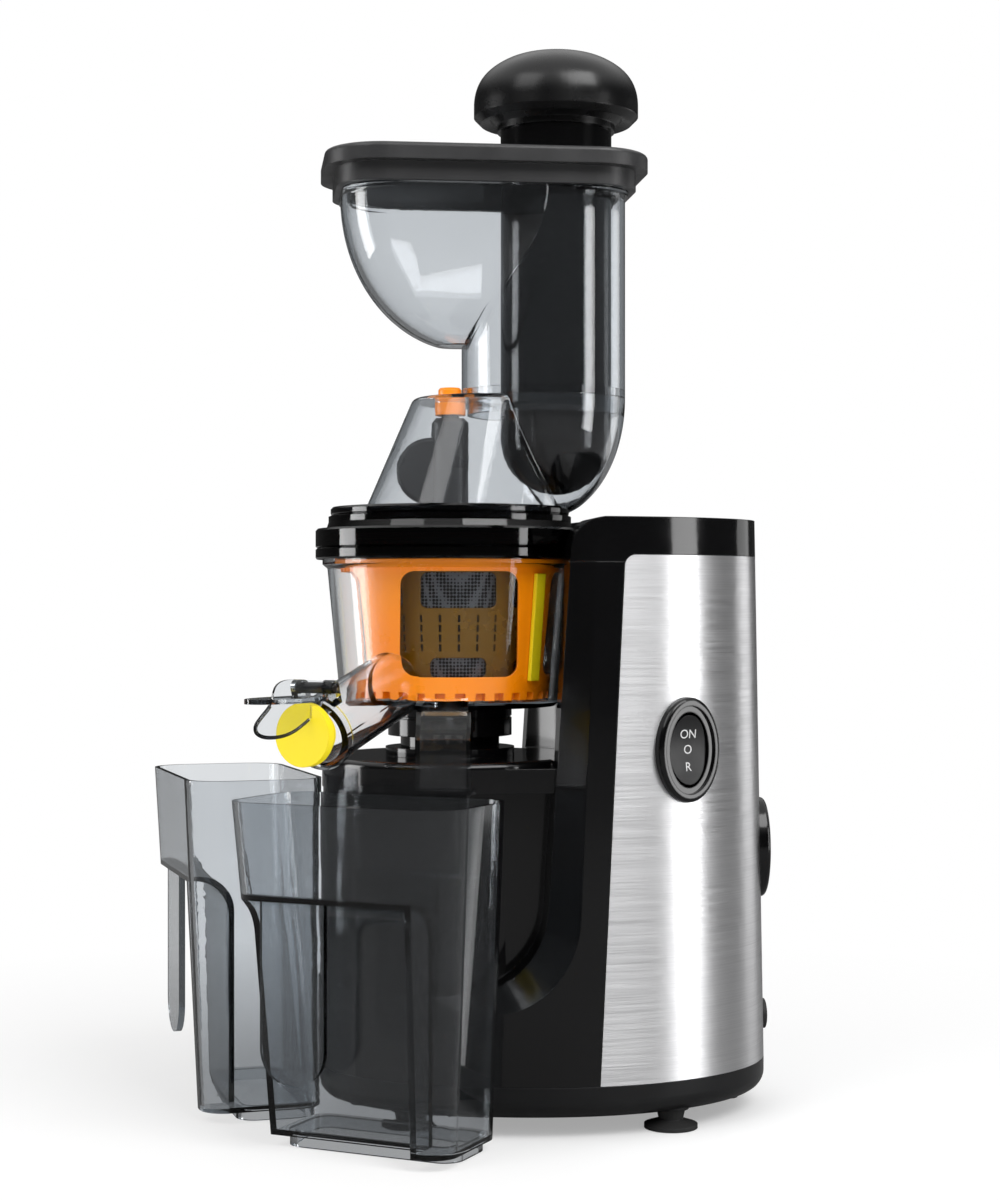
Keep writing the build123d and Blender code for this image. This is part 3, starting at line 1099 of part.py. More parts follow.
# ---------------------------------------------------------------- all pieces
def build():
    """Every piece by its node name, in the drum-axis frame."""
    side = switch_plane()
    rear = rear_plane()
    nodes = {
        "housing_shell": housing_shell(),
        "base_tray": base_tray(),
        "steel_wrap": steel_wrap(),
        "top_cover": top_cover(),
        "suction_feet": suction_feet(),
        "tray_screws": tray_screws(),
        "cord_gland": cord_gland(),
        "side_switch_bezel": switch_bezel(side),
        "side_switch_axle": switch_axle(side),
        "side_rocker": rocker(side),
        "rear_switch_bezel": switch_bezel(rear),
        "rear_switch_axle": switch_axle(rear),
        "rear_rocker": rocker(rear),
        "gear_plate": gear_plate(),
        "motor": motor(),
        "motor_shaft": motor_shaft(),
        "reduction_gear": reduction_gear(),
        "reduction_shaft": reduction_shaft(),
        "output_gear": output_gear(),
        "drive_spindle": drive_spindle(),
        "spindle_bearing": spindle_bearing(),
        "shaft_seal": shaft_seal(),
        "control_board": control_board(),
        "juice_bowl": juice_bowl(),
        "bowl_collar": bowl_collar(),
        "brush_idler": brush_idler(),
        "brush_frame": brush_frame(),
        "wiper_blades": wiper_blades(),
        "strainer_frame": strainer_frame(),
        "strainer_mesh": strainer_mesh(),
        "auger": auger(),
        "auger_insert": auger_insert(),
        "auger_gear": auger_gear(),
        "lid": lid(),
        "lid_ring": lid_ring(),
        "lid_gasket": lid_gasket(),
        "auger_bush": auger_bush(),
        "hopper": hopper(),
        "hopper_rim": hopper_rim(),
        "pusher_stem": pusher_stem(),
        "pusher_knob": pusher_knob(),
        "spout_cap": spout_cap(),
        "spout_seal": spout_seal(),
        "spout_pin": spout_pin(),
        "juice_cup": place_cup(cup(JUICE_CUP_HEIGHT), JUICE_CUP_TURN, JUICE_CUP_BACK, JUICE_CUP_SHIFT),
        "pulp_cup": place_cup(cup(PULP_CUP_HEIGHT), PULP_CUP_TURN, PULP_CUP_BACK, PULP_CUP_SHIFT),
    }
    return {name: one_compound(piece) for name, piece in nodes.items()}


def one_compound(piece):
    """All solids of a piece, or of a list of pieces, as one compound."""
    pieces = piece if isinstance(piece, list) else [piece]
    return Compound(children=[solid for item in pieces for solid in item.solids()])


def footprint_shift(nodes):
    """Move that brings the middle of the footprint to the origin."""
    boxes = [piece.bounding_box() for piece in nodes.values()]
    x = (min(box.min.X for box in boxes) + max(box.max.X for box in boxes)) / 2
    y = (min(box.min.Y for box in boxes) + max(box.max.Y for box in boxes)) / 2
    return Pos(-x, -y, 0)


NODES = build()
SHIFT = footprint_shift(NODES)
os.makedirs("parts", exist_ok=True)
for node_name, node in NODES.items():
    export_step(SHIFT * node, f"parts/{node_name}.step")
print("shift", SHIFT.position)
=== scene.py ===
"""Cold press juicer: finishes, switch marks, spout cap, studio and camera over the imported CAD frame."""

import json
import math

import bmesh
import bpy
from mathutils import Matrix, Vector


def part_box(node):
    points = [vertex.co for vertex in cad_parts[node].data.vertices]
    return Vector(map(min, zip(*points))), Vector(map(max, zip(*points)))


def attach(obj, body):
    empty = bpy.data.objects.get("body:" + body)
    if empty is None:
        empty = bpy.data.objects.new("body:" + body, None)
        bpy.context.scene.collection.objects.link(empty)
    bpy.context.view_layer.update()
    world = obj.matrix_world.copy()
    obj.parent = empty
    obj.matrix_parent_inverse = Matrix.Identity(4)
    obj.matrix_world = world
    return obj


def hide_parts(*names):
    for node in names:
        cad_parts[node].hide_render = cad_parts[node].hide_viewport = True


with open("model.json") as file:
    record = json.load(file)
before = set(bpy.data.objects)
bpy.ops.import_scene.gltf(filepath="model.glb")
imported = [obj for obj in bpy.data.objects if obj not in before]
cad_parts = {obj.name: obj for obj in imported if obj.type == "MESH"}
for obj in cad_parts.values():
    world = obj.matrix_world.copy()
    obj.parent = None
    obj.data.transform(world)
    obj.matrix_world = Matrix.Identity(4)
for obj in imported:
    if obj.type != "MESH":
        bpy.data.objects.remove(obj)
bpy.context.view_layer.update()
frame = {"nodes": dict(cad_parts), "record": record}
record = frame["record"]
nodes = frame["nodes"]
joints = {joint["name"]: joint for joint in record["behaviour"]["joints"]}

# ---------------------------------------------------------------- places taken from the frame
MM = 0.001
RISE = Vector((0, 0, 1))
spindle_low, spindle_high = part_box("drive_spindle")
AXIS = Vector(((spindle_low[0] + spindle_high[0]) / 2, (spindle_low[1] + spindle_high[1]) / 2, 0.0))


# ---------------------------------------------------------------- node helpers
def ranged(tree, value, source, target, smooth=False):
    """Map a value from the source span to the target span."""
    node = tree.nodes.new("ShaderNodeMapRange")
    if smooth:
        node.interpolation_type = "SMOOTHSTEP"
    node.inputs["From Min"].default_value, node.inputs["From Max"].default_value = source
    node.inputs["To Min"].default_value, node.inputs["To Max"].default_value = target
    tree.links.new(value, node.inputs["Value"])
    return node.outputs["Result"]


def computed(tree, operation, first, second):
    """A Math node of two outputs or numbers."""
    node = tree.nodes.new("ShaderNodeMath")
    node.operation = operation
    for socket, value in zip(node.inputs, (first, second)):
        if isinstance(value, float):
            socket.default_value = value
        else:
            tree.links.new(value, socket)
    return node.outputs[0]


def mixed(tree, share, first, second):
    """The first shader, turning into the second as the share goes from 0 to 1."""
    node = tree.nodes.new("ShaderNodeMixShader")
    for socket, value in zip(node.inputs, (share, first, second)):
        tree.links.new(value, socket)
    return node.outputs[0]


class Shader:
    """A node material with a Principled shader and short names for its inputs."""

    NAMES = {"metal": "Metallic", "ior": "IOR", "trans": "Transmission Weight", "spec": "Specular IOR Level",
             "aniso": "Anisotropic", "aniso_turn": "Anisotropic Rotation"}
    NOISE_SPAN = (0.3, 0.7)
    BEVEL_SAMPLES = 4

    def __init__(self, name, **values):
        self.mat = bpy.data.materials.new(name)
        self.mat.use_nodes = True
        self.tree = self.mat.node_tree
        self.nodes = self.tree.nodes
        self.bsdf = self.nodes["Principled BSDF"]
        self.coords = self.nodes.new("ShaderNodeTexCoord")
        for key, value in values.items():
            self.bsdf.inputs[self.NAMES[key]].default_value = value

    def link(self, out, where):
        self.tree.links.new(out, where)

    def mapping(self, scale=(1, 1, 1)):
        node = self.nodes.new("ShaderNodeMapping")
        node.inputs["Scale"].default_value = scale
        self.link(self.coords.outputs["Object"], node.inputs["Vector"])
        return node.outputs["Vector"]

    def noise(self, scale, detail=2.0, stretch=(1, 1, 1), rough=0.5):
        """Noise in the object's own metres; stretch draws it out along an axis."""
        node = self.nodes.new("ShaderNodeTexNoise")
        node.inputs["Scale"].default_value = scale
        node.inputs["Detail"].default_value = detail
        node.inputs["Roughness"].default_value = rough
        self.link(self.mapping(stretch), node.inputs["Vector"])
        return node.outputs["Fac"]

    def rough_from(self, value, span):
        """Roughness that runs over a span with the value."""
        self.link(ranged(self.tree, value, self.NOISE_SPAN, span), self.bsdf.inputs["Roughness"])

    def color_from(self, value, dark, light, span=NOISE_SPAN):
        """Base colour that runs from dark to light over a span of the value."""
        node = self.nodes.new("ShaderNodeValToRGB")
        for element, place, color in zip(node.color_ramp.elements, span, (dark, light)):
            element.position = place
            element.color = (*color, 1.0)
        self.link(value, node.inputs["Fac"])
        self.link(node.outputs["Color"], self.bsdf.inputs["Base Color"])

    def bump(self, value, strength, distance, edge=0.0):
        """Bump from a height, over edges rounded by a small radius if asked."""
        node = self.nodes.new("ShaderNodeBump")
        node.inputs["Strength"].default_value = strength
        node.inputs["Distance"].default_value = distance
        self.link(value, node.inputs["Height"])
        if edge:
            bevel = self.nodes.new("ShaderNodeBevel")
            bevel.samples = self.BEVEL_SAMPLES
            bevel.inputs["Radius"].default_value = edge
            self.link(bevel.outputs["Normal"], node.inputs["Normal"])
        self.link(node.outputs["Normal"], self.bsdf.inputs["Normal"])

    def absorb(self, color, density):
        """Darken with thickness: a constant absorption inside the solid."""
        node = self.nodes.new("ShaderNodeVolumeAbsorption")
        node.inputs["Color"].default_value = (*color, 1.0)
        node.inputs["Density"].default_value = density
        self.link(node.outputs["Volume"], self.nodes["Material Output"].inputs["Volume"])


# ---------------------------------------------------------------- kinds of material
# Noise scales are waves per metre; bump heights and edge radii are metres. A spread is the low and the
# high share of a finish's roughness that its uneven gloss runs between.
EDGE_RADIUS = 0.7 * MM

PLASTIC_SPREAD = (0.82, 1.2)
DRIFT_SCALE = 14.0
GLOSS_SCALE = 55.0
GRAIN_SCALE = 900.0
MOULD_WAVE_SCALE = 60.0
MOULD_WAVE_BUMP = 0.03
MOULD_HEIGHT = 0.2 * MM

METAL_SPREAD = (0.8, 1.25)
METAL_GRAIN_SCALE = 60.0
METAL_GRAIN_ROUGH = 0.6
METAL_GLOSS_TO_GRAIN = 0.9
METAL_BUMP = 0.05
METAL_HEIGHT = 0.1 * MM

SMOKE = (0.0, 0.05, 0.09)
CLEAR_IOR = 1.45
CLEAR_SPREAD = (0.5, 1.5)
CLEAR_GLOSS_SCALE = 40.0
TINT_SCALE = 9.0
TINT_DARKER = 0.96
CLEAR_WAVE_SCALE = 28.0
CLEAR_WAVE_BUMP = 0.02
CLEAR_WAVE_HEIGHT = 0.4 * MM

HOLES_PER_METRE = 640.0
HOLE_SCATTER = 0.12
HOLE_EDGE = (0.40, 0.50)
HOLE_TO_SHEET_ROUGH = (0.6, 0.32)
HOLE_BUMP = 0.5
HOLE_DEPTH = 0.3 * MM


def spread(rough, shares):
    """A roughness's low and high side."""
    return tuple(rough * share for share in shares)


def plastic(name, dark, light, rough, grain=0.0, grain_scale=GRAIN_SCALE, **more):
    """Moulded plastic: faint colour drift, uneven gloss and a mould wave, or a finer grain if asked."""
    shader = Shader(name, **more)
    shader.color_from(shader.noise(DRIFT_SCALE, detail=3.0), dark, light)
    shader.rough_from(shader.noise(GLOSS_SCALE, detail=4.0), spread(rough, PLASTIC_SPREAD))
    wave = shader.noise(grain_scale if grain else MOULD_WAVE_SCALE)
    shader.bump(wave, grain or MOULD_WAVE_BUMP, MOULD_HEIGHT, EDGE_RADIUS)
    return shader.mat


def metal(name, dark, light, rough, stretch=(1, 1, 1), scale=METAL_GRAIN_SCALE, **more):
    """Metal with an even or brushed grain in colour, gloss and bump."""
    shader = Shader(name, metal=1.0, **more)
    grain = shader.noise(scale, detail=4.0, stretch=stretch, rough=METAL_GRAIN_ROUGH)
    gloss = shader.noise(scale * METAL_GLOSS_TO_GRAIN, detail=3.0, stretch=stretch)
    shader.color_from(grain, dark, light)
    shader.rough_from(gloss, spread(rough, METAL_SPREAD))
    shader.bump(grain, METAL_BUMP, METAL_HEIGHT)
    return shader.mat


def clear(name, tint, rough, density, ior=CLEAR_IOR):
    """Smoke-tinted clear plastic: slight mould waves, darker where it is thick or seen edge on."""
    shader = Shader(name, trans=1.0, ior=ior)
    darker = tuple(channel * TINT_DARKER for channel in tint)
    shader.color_from(shader.noise(TINT_SCALE), darker, tint)
    shader.rough_from(shader.noise(CLEAR_GLOSS_SCALE, detail=3.0), spread(rough, CLEAR_SPREAD))
    shader.absorb(SMOKE, density)
    shader.bump(shader.noise(CLEAR_WAVE_SCALE), CLEAR_WAVE_BUMP, CLEAR_WAVE_HEIGHT)
    return shader.mat


def perforated(name, hole_shade, sheet_color):
    """Steel sheet with rows of fine round holes, each painted dark inside as painted shade."""
    shader = Shader(name, metal=1.0)
    dots = shader.nodes.new("ShaderNodeTexVoronoi")
    dots.inputs["Scale"].default_value = HOLES_PER_METRE
    dots.inputs["Randomness"].default_value = HOLE_SCATTER
    shader.link(shader.mapping(), dots.inputs["Vector"])
    distance = dots.outputs["Distance"]
    # The holes take the dark colour: painted shade for the shaded inside seen through each hole.
    shader.color_from(distance, hole_shade, sheet_color, HOLE_EDGE)
    shader.rough_from(distance, HOLE_TO_SHEET_ROUGH)
    shader.bump(distance, HOLE_BUMP, HOLE_DEPTH)
    return shader.mat


# ---------------------------------------------------------------- the record's finishes
# A grain drawn out along X and Y, so that it runs round an upright wall.
BRUSHED = (0.01, 0.01, 1.0)
TURNED = (0.02, 0.02, 1.0)

MATERIALS = {
    "black_gloss": plastic("black_gloss", (0.0016, 0.0016, 0.0018), (0.003, 0.003, 0.0033), 0.10, spec=0.42),
    "black_satin": plastic("black_satin", (0.005, 0.005, 0.0055), (0.009, 0.009, 0.0095), 0.34, grain=0.06,
                           spec=0.25),
    "brushed_steel": metal("brushed_steel", (0.66, 0.66, 0.67), (0.78, 0.78, 0.79), 0.40, stretch=BRUSHED,
                           scale=2600.0, aniso=0.9, aniso_turn=0.25),
    "bright_steel": metal("bright_steel", (0.60, 0.61, 0.63), (0.70, 0.71, 0.73), 0.16),
    "zinc_steel": metal("zinc_steel", (0.42, 0.44, 0.47), (0.56, 0.58, 0.60), 0.36, scale=140.0),
    "motor_steel": metal("motor_steel", (0.16, 0.17, 0.19), (0.3, 0.31, 0.33), 0.45, stretch=TURNED,
                         scale=1500.0),
    "bronze": metal("bronze", (0.42, 0.26, 0.10), (0.55, 0.36, 0.16), 0.42, scale=500.0),
    "rubber_black": plastic("rubber_black", (0.010, 0.010, 0.010), (0.02, 0.02, 0.02), 0.62, grain=0.12,
                            grain_scale=1400.0, spec=0.3),
    "smoke_clear": clear("smoke_clear", (0.84, 0.86, 0.88), 0.03, density=34.0),
    "smoke_dark": clear("smoke_dark", (0.12, 0.12, 0.13), 0.06, density=900.0),
    "orange_plastic": plastic("orange_plastic", (1.0, 0.24, 0.0004), (1.0, 0.29, 0.0006), 0.3),
    "amber_plastic": plastic("amber_plastic", (0.17, 0.085, 0.001), (0.24, 0.115, 0.0015), 0.25, spec=0.3,
                             trans=0.4, ior=1.46),
    # The first colour is painted shade inside the holes; the second is the sheet's own steel.
    "mesh_steel": perforated("mesh_steel", (0.001, 0.001, 0.0012), (0.20, 0.21, 0.23)),
    "yellow_silicone": plastic("yellow_silicone", (0.90, 0.70, 0.004), (0.96, 0.78, 0.006), 0.45, grain=0.05),
    "red_silicone": plastic("red_silicone", (0.55, 0.012, 0.02), (0.66, 0.02, 0.03), 0.4),
    "gear_white": plastic("gear_white", (0.66, 0.66, 0.62), (0.76, 0.76, 0.72), 0.4),
    "auger_grey": plastic("auger_grey", (0.010, 0.011, 0.013), (0.018, 0.0195, 0.023), 0.3, grain=0.04,
                          spec=0.3),
    "board_green": plastic("board_green", (0.01, 0.09, 0.035), (0.02, 0.14, 0.06), 0.35),
}

# Nodes that look different from the rest of their slot: a paler bowl, softer blacks on rim and knob.
OWN_MATERIALS = {
    "juice_bowl": clear("smoke_clear_bowl", (0.955, 0.96, 0.965), 0.03, density=28.0, ior=1.33),
    "hopper_rim": plastic("black_soft", (0.020, 0.020, 0.021), (0.028, 0.028, 0.029), 0.38, grain=0.04),
    "pusher_knob": plastic("black_knob", (0.002, 0.002, 0.0022), (0.0035, 0.0035, 0.0038), 0.26, grain=0.03,
                           spec=0.4),
}


def dress(thing, material):
    """Give every material slot of an object the same material."""
    if thing.data.materials:
        for index in range(len(thing.data.materials)):
            thing.data.materials[index] = material
    else:
        thing.data.materials.append(material)


def let_light_through(thing, shadow):
    """Leave a clear piece out of the light that matt surfaces gather; it throws a shadow only if asked."""
    thing.visible_diffuse = False
    thing.visible_shadow = shadow


for row in record["subparts"]:
    thing = nodes[row["node"]]
    dress(thing, OWN_MATERIALS.get(row["node"], MATERIALS[row["material_slot"]]))
    if row["material_slot"] == "smoke_clear":
        let_light_through(thing, shadow="cup" in row["node"])


# ---------------------------------------------------------------- new pieces
def linked(name, data):
    """A new object in the scene."""
    thing = bpy.data.objects.new(name, data)
    bpy.context.scene.collection.objects.link(thing)
    return thing


def add_piece(name, mesh, material, body):
    """A piece of the part that rides on a body and takes its finish from a slot."""
    piece = linked(name, mesh)
    mesh.materials.clear()
    mesh.materials.append(material)
    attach(piece, body)
    return piece


def mesh_of(curve):
    """The mesh that a text or curve makes."""
    holder = linked("holder_" + curve.name, curve)
    bpy.context.view_layer.update()
    mesh = bpy.data.meshes.new_from_object(holder.evaluated_get(bpy.context.evaluated_depsgraph_get()))
    bpy.data.objects.remove(holder)
    return mesh


# ---------------------------------------------------------------- marks on the speed switch
# The key's hollow face: its height over the switch's plane at the middle and at its upper and lower edge.
KEY_HALF = 15.5 * MM
KEY_EDGE_Z = 2.2 * MM
KEY_MIDDLE_Z = 0.4 * MM
AXLE_DEPTH = 4.0 * MM
MARK_SIZE = 5.6 * MM
MARK_HALF_THICK = 0.05 * MM
MARK_LIFT = 0.04 * MM
MARKS = (("ON", "on", 6.9 * MM), ("O", "off", 0.0), ("R", "reverse", -7.7 * MM))
WHITE_INK = plastic("white_ink", (0.70, 0.70, 0.70), (0.80, 0.80, 0.80), 0.5)


def key_height(up):
    """Height of the key's hollow face over the switch's plane at a distance from its middle."""
    return KEY_MIDDLE_Z + (KEY_EDGE_Z - KEY_MIDDLE_Z) * (up / KEY_HALF) ** 2


def mark(text, label, joint, rise):
    """Small printed word that lies on the hollow face of a rocker key."""
    curve = bpy.data.curves.new("curve_" + label, "FONT")
    curve.body = text
    curve.size = MARK_SIZE
    curve.extrude = MARK_HALF_THICK
    curve.align_x = "CENTER"
    curve.align_y = "CENTER"
    mesh = mesh_of(curve)
    right = Vector(joint["axis"]).normalized()
    outward = right.cross(RISE)
    middle = Vector(joint["pos_m"]) + outward * AXLE_DEPTH
    for vertex in mesh.vertices:
        x, y, z = vertex.co
        height = key_height(rise + y) + MARK_LIFT + z + MARK_HALF_THICK
        vertex.co = middle + right * x + RISE * (rise + y) + outward * height
    add_piece("switch_mark_" + label, mesh, WHITE_INK, "side_rocker_key")


for text, label, rise in MARKS:
    mark(text, label, joints["side_rocker_tilt"], rise)

# ---------------------------------------------------------------- spout cap
CAP_JOINT = joints["spout_cap_tilt"]
CAP_BODY = "spout_lid"
BAR_ROUNDNESS = 4

# From the hinge: SIDE runs against the joint's axis, and AHEAD runs out over the spout's mouth.
HINGE = Vector(CAP_JOINT["pos_m"])
SIDE = -Vector(CAP_JOINT["axis"]).normalized()
AHEAD = SIDE.cross(RISE)

# The upright web: out from the hinge and up, in mm. It stands a little to the side and is turned.
WEB = [(0, 2.9), (11.5, 3.7), (23, 4.4), (28.5, 2.4), (30.3, -1.4), (31, -6.2), (37, -11.5), (40, -14.9),
       (38.8, -18.2), (32.7, -19.9), (21.8, -19.1), (12.1, -14), (4.8, -8.2), (1.2, -2.3)]
WEB_SIDE = 7.0 * MM
WEB_TURN = math.radians(14.5)
WEB_THICK = 1.3 * MM
# A dark bar along the web's lower outline, painted shade for the dark look of the clear edge: how far under
# the hinge and how far out it starts, and its radius.
EDGE_SHADE_DROP = 6.0 * MM
EDGE_SHADE_START = 10.0 * MM
EDGE_SHADE_RADIUS = 0.8 * MM

# The level finger blade: out from the hinge and half width, in mm.
BLADE_HALF = [(-1, 9), (12, 10), (28, 11.5), (42, 7)]
BLADE_TIP = (46, 0)
BLADE_DROP = 4.4 * MM
BLADE_THICK = 2.0 * MM

BARREL_RADIUS = 2.4 * MM
BARREL_LEFT = 8.5 * MM
BARREL_RIGHT = 9.5 * MM
CORNER_CUT = 0.25


def rounded(points, rounds=3):
    """Closed outline with its corners cut again and again until it reads as a curve."""
    for _ in range(rounds):
        fresh = []
        for first, second in zip(points, points[1:] + points[:1]):
            fresh += [first.lerp(second, CORNER_CUT), first.lerp(second, 1 - CORNER_CUT)]
        points = fresh
    return points


def cap_sheet(name, points, normal, thick):
    """Clear flat plate of one thickness from a closed outline."""
    count = len(points)
    front = [point + normal * (thick / 2) for point in points]
    back = [point - normal * (thick / 2) for point in points]
    faces = [tuple(range(count)), tuple(reversed(range(count, 2 * count)))]
    for index in range(count):
        after = (index + 1) % count
        faces.append((after, index, index + count, after + count))
    mesh = bpy.data.meshes.new(name)
    mesh.from_pydata([tuple(point) for point in front + back], [], faces)
    solid = bmesh.new()
    solid.from_mesh(mesh)
    bmesh.ops.recalc_face_normals(solid, faces=solid.faces)
    solid.to_mesh(mesh)
    solid.free()
    piece = add_piece(name, mesh, MATERIALS["smoke_clear"], CAP_BODY)
    let_light_through(piece, shadow=False)
    return piece


def cap_bar(name, points, radius):
    """Dark round bar along a line."""
    curve = bpy.data.curves.new(name, "CURVE")
    curve.dimensions = "3D"
    curve.bevel_depth = radius
    curve.bevel_resolution = BAR_ROUNDNESS
    curve.use_fill_caps = True
    line = curve.splines.new("POLY")
    line.points.add(len(points) - 1)
    for place, point in zip(line.points, points):
        place.co = (*point, 1.0)
    return add_piece(name, mesh_of(curve), MATERIALS["smoke_dark"], CAP_BODY)


def build_cap():
    """Web, blade, a dark bar of painted shade along the web's lower edge, and hinge barrel; together they
    stand for the CAD's cap.
    """
    web_way = AHEAD * math.cos(WEB_TURN) - SIDE * math.sin(WEB_TURN)
    web_start = HINGE + SIDE * WEB_SIDE
    web_line = rounded([web_start + web_way * (out * MM) + RISE * (up * MM) for out, up in WEB])
    web = cap_sheet("cap_web", web_line, web_way.cross(RISE), WEB_THICK)
    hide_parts("spout_cap")

    left_edge = [(out, -half) for out, half in BLADE_HALF]
    outline = left_edge + [BLADE_TIP] + BLADE_HALF[::-1]
    blade_start = HINGE - RISE * BLADE_DROP
    blade_line = rounded([blade_start + AHEAD * (out * MM) + SIDE * (side * MM) for out, side in outline])
    cap_sheet("cap_blade", blade_line, RISE, BLADE_THICK)

    # Painted shade: a dark bar along the lower, outer part of the web's edge.
    edge_shade_line = [point for point in web_line
                if point.z < HINGE.z - EDGE_SHADE_DROP and (point - web_start).dot(web_way) > EDGE_SHADE_START]
    cap_bar("cap_web_edge_shade", edge_shade_line, EDGE_SHADE_RADIUS)
    cap_bar("cap_barrel", [HINGE - SIDE * BARREL_LEFT, HINGE + SIDE * BARREL_RIGHT], BARREL_RADIUS)


build_cap()


# ---------------------------------------------------------------- floor and world
FLOOR_HALF = 8.0
FLOOR_DROP = 0.2 * MM
FLOOR_ROUGH = 0.7
FLOOR_SPECULAR = 0.1
FLOOR_TONE = 0.92
# Floor colour where the part mirrors it: painted shade that darkens the floor's reflections.
FLOOR_SHADE_IN_GLOSS = 0.25
GLOW_DISTANCE = (0.18, 0.55)
GLOW_SHARE = (0.35, 1.0)

WHITE = (1, 1, 1, 1)
WALL_TINT = (0.93, 0.97, 1, 1)
SURFACE_LEVEL = 0.75
WALL_LEVEL = 0.36
GLOSS_LEVEL = (0.04, 1.1)
GLOSS_HEIGHT = (0.30, 0.75)


def ray_kinds(tree):
    """Shares of rays that see the stage directly, in gloss, and by a mirroring inside a clear wall."""
    path = tree.nodes.new("ShaderNodeLightPath")
    through = path.outputs["Is Transmission Ray"]
    mirrored = computed(tree, "GREATER_THAN", path.outputs["Glossy Depth"], 0.5)
    unmirrored = computed(tree, "SUBTRACT", 1.0, mirrored)
    seen = computed(tree, "MAXIMUM", path.outputs["Is Camera Ray"], through)
    direct = computed(tree, "MULTIPLY", seen, unmirrored)
    return direct, path.outputs["Is Glossy Ray"], computed(tree, "MULTIPLY", through, mirrored)


def floor_material():
    """Pale floor that keeps the shadow near the part and turns plain white further out; in gloss it is
    painted darker, a painted shade in the part's reflections.
    """
    mat = bpy.data.materials.new("floor_white")
    mat.use_nodes = True
    tree = mat.node_tree
    bsdf = tree.nodes["Principled BSDF"]
    bsdf.inputs["Roughness"].default_value = FLOOR_ROUGH
    bsdf.inputs["Specular IOR Level"].default_value = FLOOR_SPECULAR
    direct, gloss, _ = ray_kinds(tree)
    # Painted shade: the floor's colour drops to the darker tone for gloss rays.
    tone_with_gloss_shade = ranged(tree, gloss, (0.0, 1.0), (FLOOR_TONE, FLOOR_SHADE_IN_GLOSS))
    tree.links.new(tone_with_gloss_shade, bsdf.inputs["Base Color"])

    coords = tree.nodes.new("ShaderNodeTexCoord")
    distance = tree.nodes.new("ShaderNodeVectorMath")
    distance.operation = "LENGTH"
    tree.links.new(coords.outputs["Object"], distance.inputs[0])
    share = ranged(tree, distance.outputs["Value"], GLOW_DISTANCE, GLOW_SHARE)
    glow = tree.nodes.new("ShaderNodeEmission")
    surface = mixed(tree, computed(tree, "MULTIPLY", share, direct), bsdf.outputs[0], glow.outputs[0])
    tree.links.new(surface, tree.nodes["Material Output"].inputs["Surface"])
    return mat


def build_floor():
    mesh = bpy.data.meshes.new("floor")
    corners = [(-FLOOR_HALF, -FLOOR_HALF, 0), (FLOOR_HALF, -FLOOR_HALF, 0), (FLOOR_HALF, FLOOR_HALF, 0),
               (-FLOOR_HALF, FLOOR_HALF, 0)]
    mesh.from_pydata(corners, [], [(0, 1, 2, 3)])
    mesh.materials.append(floor_material())
    floor = linked("floor", mesh)
    floor.location.z = -FLOOR_DROP


def backdrop(tree, color, level):
    """One even background."""
    node = tree.nodes.new("ShaderNodeBackground")
    node.inputs["Color"].default_value = color
    node.inputs["Strength"].default_value = level
    return node


def studio_world():
    """White where it is seen, even for the surfaces, and a dark horizon under a bright ceiling in gloss."""
    world = bpy.data.worlds.new("studio")
    world.use_nodes = True
    tree = world.node_tree
    tree.nodes.remove(tree.nodes["Background"])
    even = backdrop(tree, WHITE, SURFACE_LEVEL)
    white = backdrop(tree, WHITE, 1.0)
    wall = backdrop(tree, WALL_TINT, WALL_LEVEL)
    room = backdrop(tree, WHITE, 1.0)
    coords = tree.nodes.new("ShaderNodeTexCoord")
    parts = tree.nodes.new("ShaderNodeSeparateXYZ")
    tree.links.new(coords.outputs["Generated"], parts.inputs[0])
    level = ranged(tree, parts.outputs["Z"], GLOSS_HEIGHT, GLOSS_LEVEL, smooth=True)
    tree.links.new(level, room.inputs["Strength"])

    direct, gloss, inside_wall = ray_kinds(tree)
    look = mixed(tree, gloss, even.outputs[0], room.outputs[0])
    look = mixed(tree, inside_wall, look, wall.outputs[0])
    look = mixed(tree, direct, look, white.outputs[0])
    tree.links.new(look, tree.nodes["World Output"].inputs["Surface"])
    return world


build_floor()
bpy.context.scene.world = studio_world()

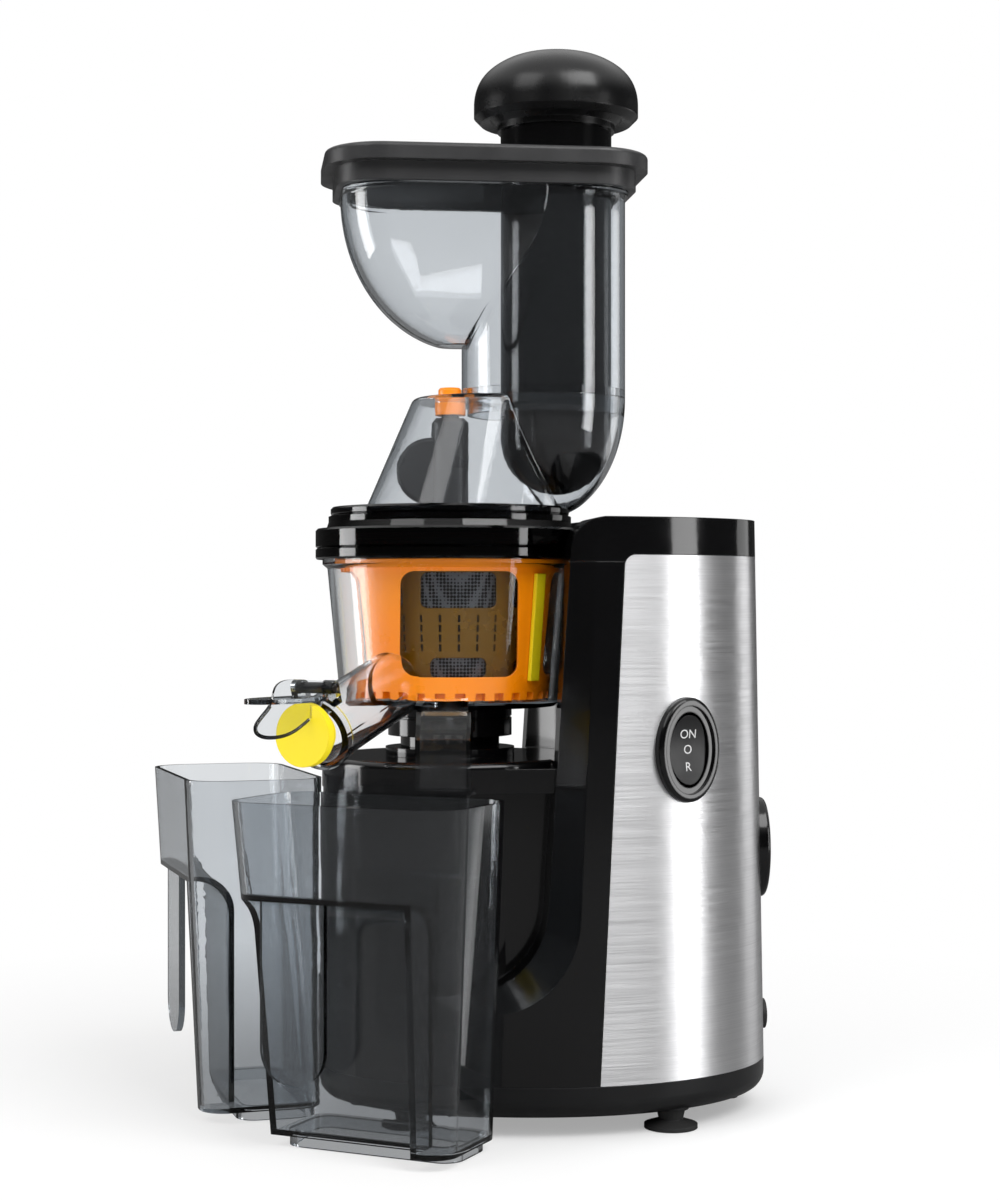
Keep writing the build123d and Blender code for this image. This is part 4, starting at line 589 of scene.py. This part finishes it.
# ---------------------------------------------------------------- lamps
AIM = AXIS + Vector((0, 0.03, 0.25))
BOX_HEIGHT = 0.17
BOX_AWAY = 1.2
BOX_TALL = 0.9


def lamp(name, azimuth, height, away, size, radiance, gloss_only=False):
    """Rectangular soft box round the part; its azimuth is counted from +X in degrees."""
    data = bpy.data.lights.new(name, "AREA")
    data.shape = "RECTANGLE"
    data.size, data.size_y = size
    data.energy = radiance * math.pi * size[0] * size[1]
    thing = linked(name, data)
    turn = math.radians(azimuth)
    place = AXIS + Vector((away * math.cos(turn), away * math.sin(turn), height))
    thing.location = place
    thing.rotation_euler = (AIM - place).to_track_quat("-Z", "Y").to_euler()
    thing.visible_diffuse = not gloss_only


def gloss_box(name, azimuth, width, radiance):
    """Upright box that only draws highlights; it is low, so level tops seen from above don't mirror it."""
    lamp(name, azimuth, BOX_HEIGHT, BOX_AWAY, (width, BOX_TALL), radiance, gloss_only=True)


lamp("front_high", azimuth=32.0, height=1.5, away=1.35, size=(1.2, 0.9), radiance=5.8)
lamp("fill_high", azimuth=-50.0, height=1.3, away=1.2, size=(0.8, 0.8), radiance=2.5)
gloss_box("left_box", azimuth=-101.0, width=0.42, radiance=8.0)
gloss_box("right_box", azimuth=61.0, width=0.32, radiance=7.0)
gloss_box("far_box", azimuth=115.0, width=0.40, radiance=1.3)

# ---------------------------------------------------------------- camera
CAMERA_FROM_AXIS = Vector((1.045, -0.1048, 0.236))
CAMERA_LOOK = Vector((-0.9925, 0.1219, 0.0))
SENSOR_MM = 36.0
LENS_MM = 67.5
CLIP = (0.05, 50.0)

camera_data = bpy.data.cameras.new("camera")
camera_data.sensor_width = SENSOR_MM
camera_data.lens = LENS_MM
camera_data.clip_start, camera_data.clip_end = CLIP
camera = linked("camera", camera_data)
camera.location = AXIS + CAMERA_FROM_AXIS
camera.rotation_euler = CAMERA_LOOK.to_track_quat("-Z", "Y").to_euler()
bpy.context.scene.camera = camera
bpy.context.scene.view_settings.view_transform = "Standard"
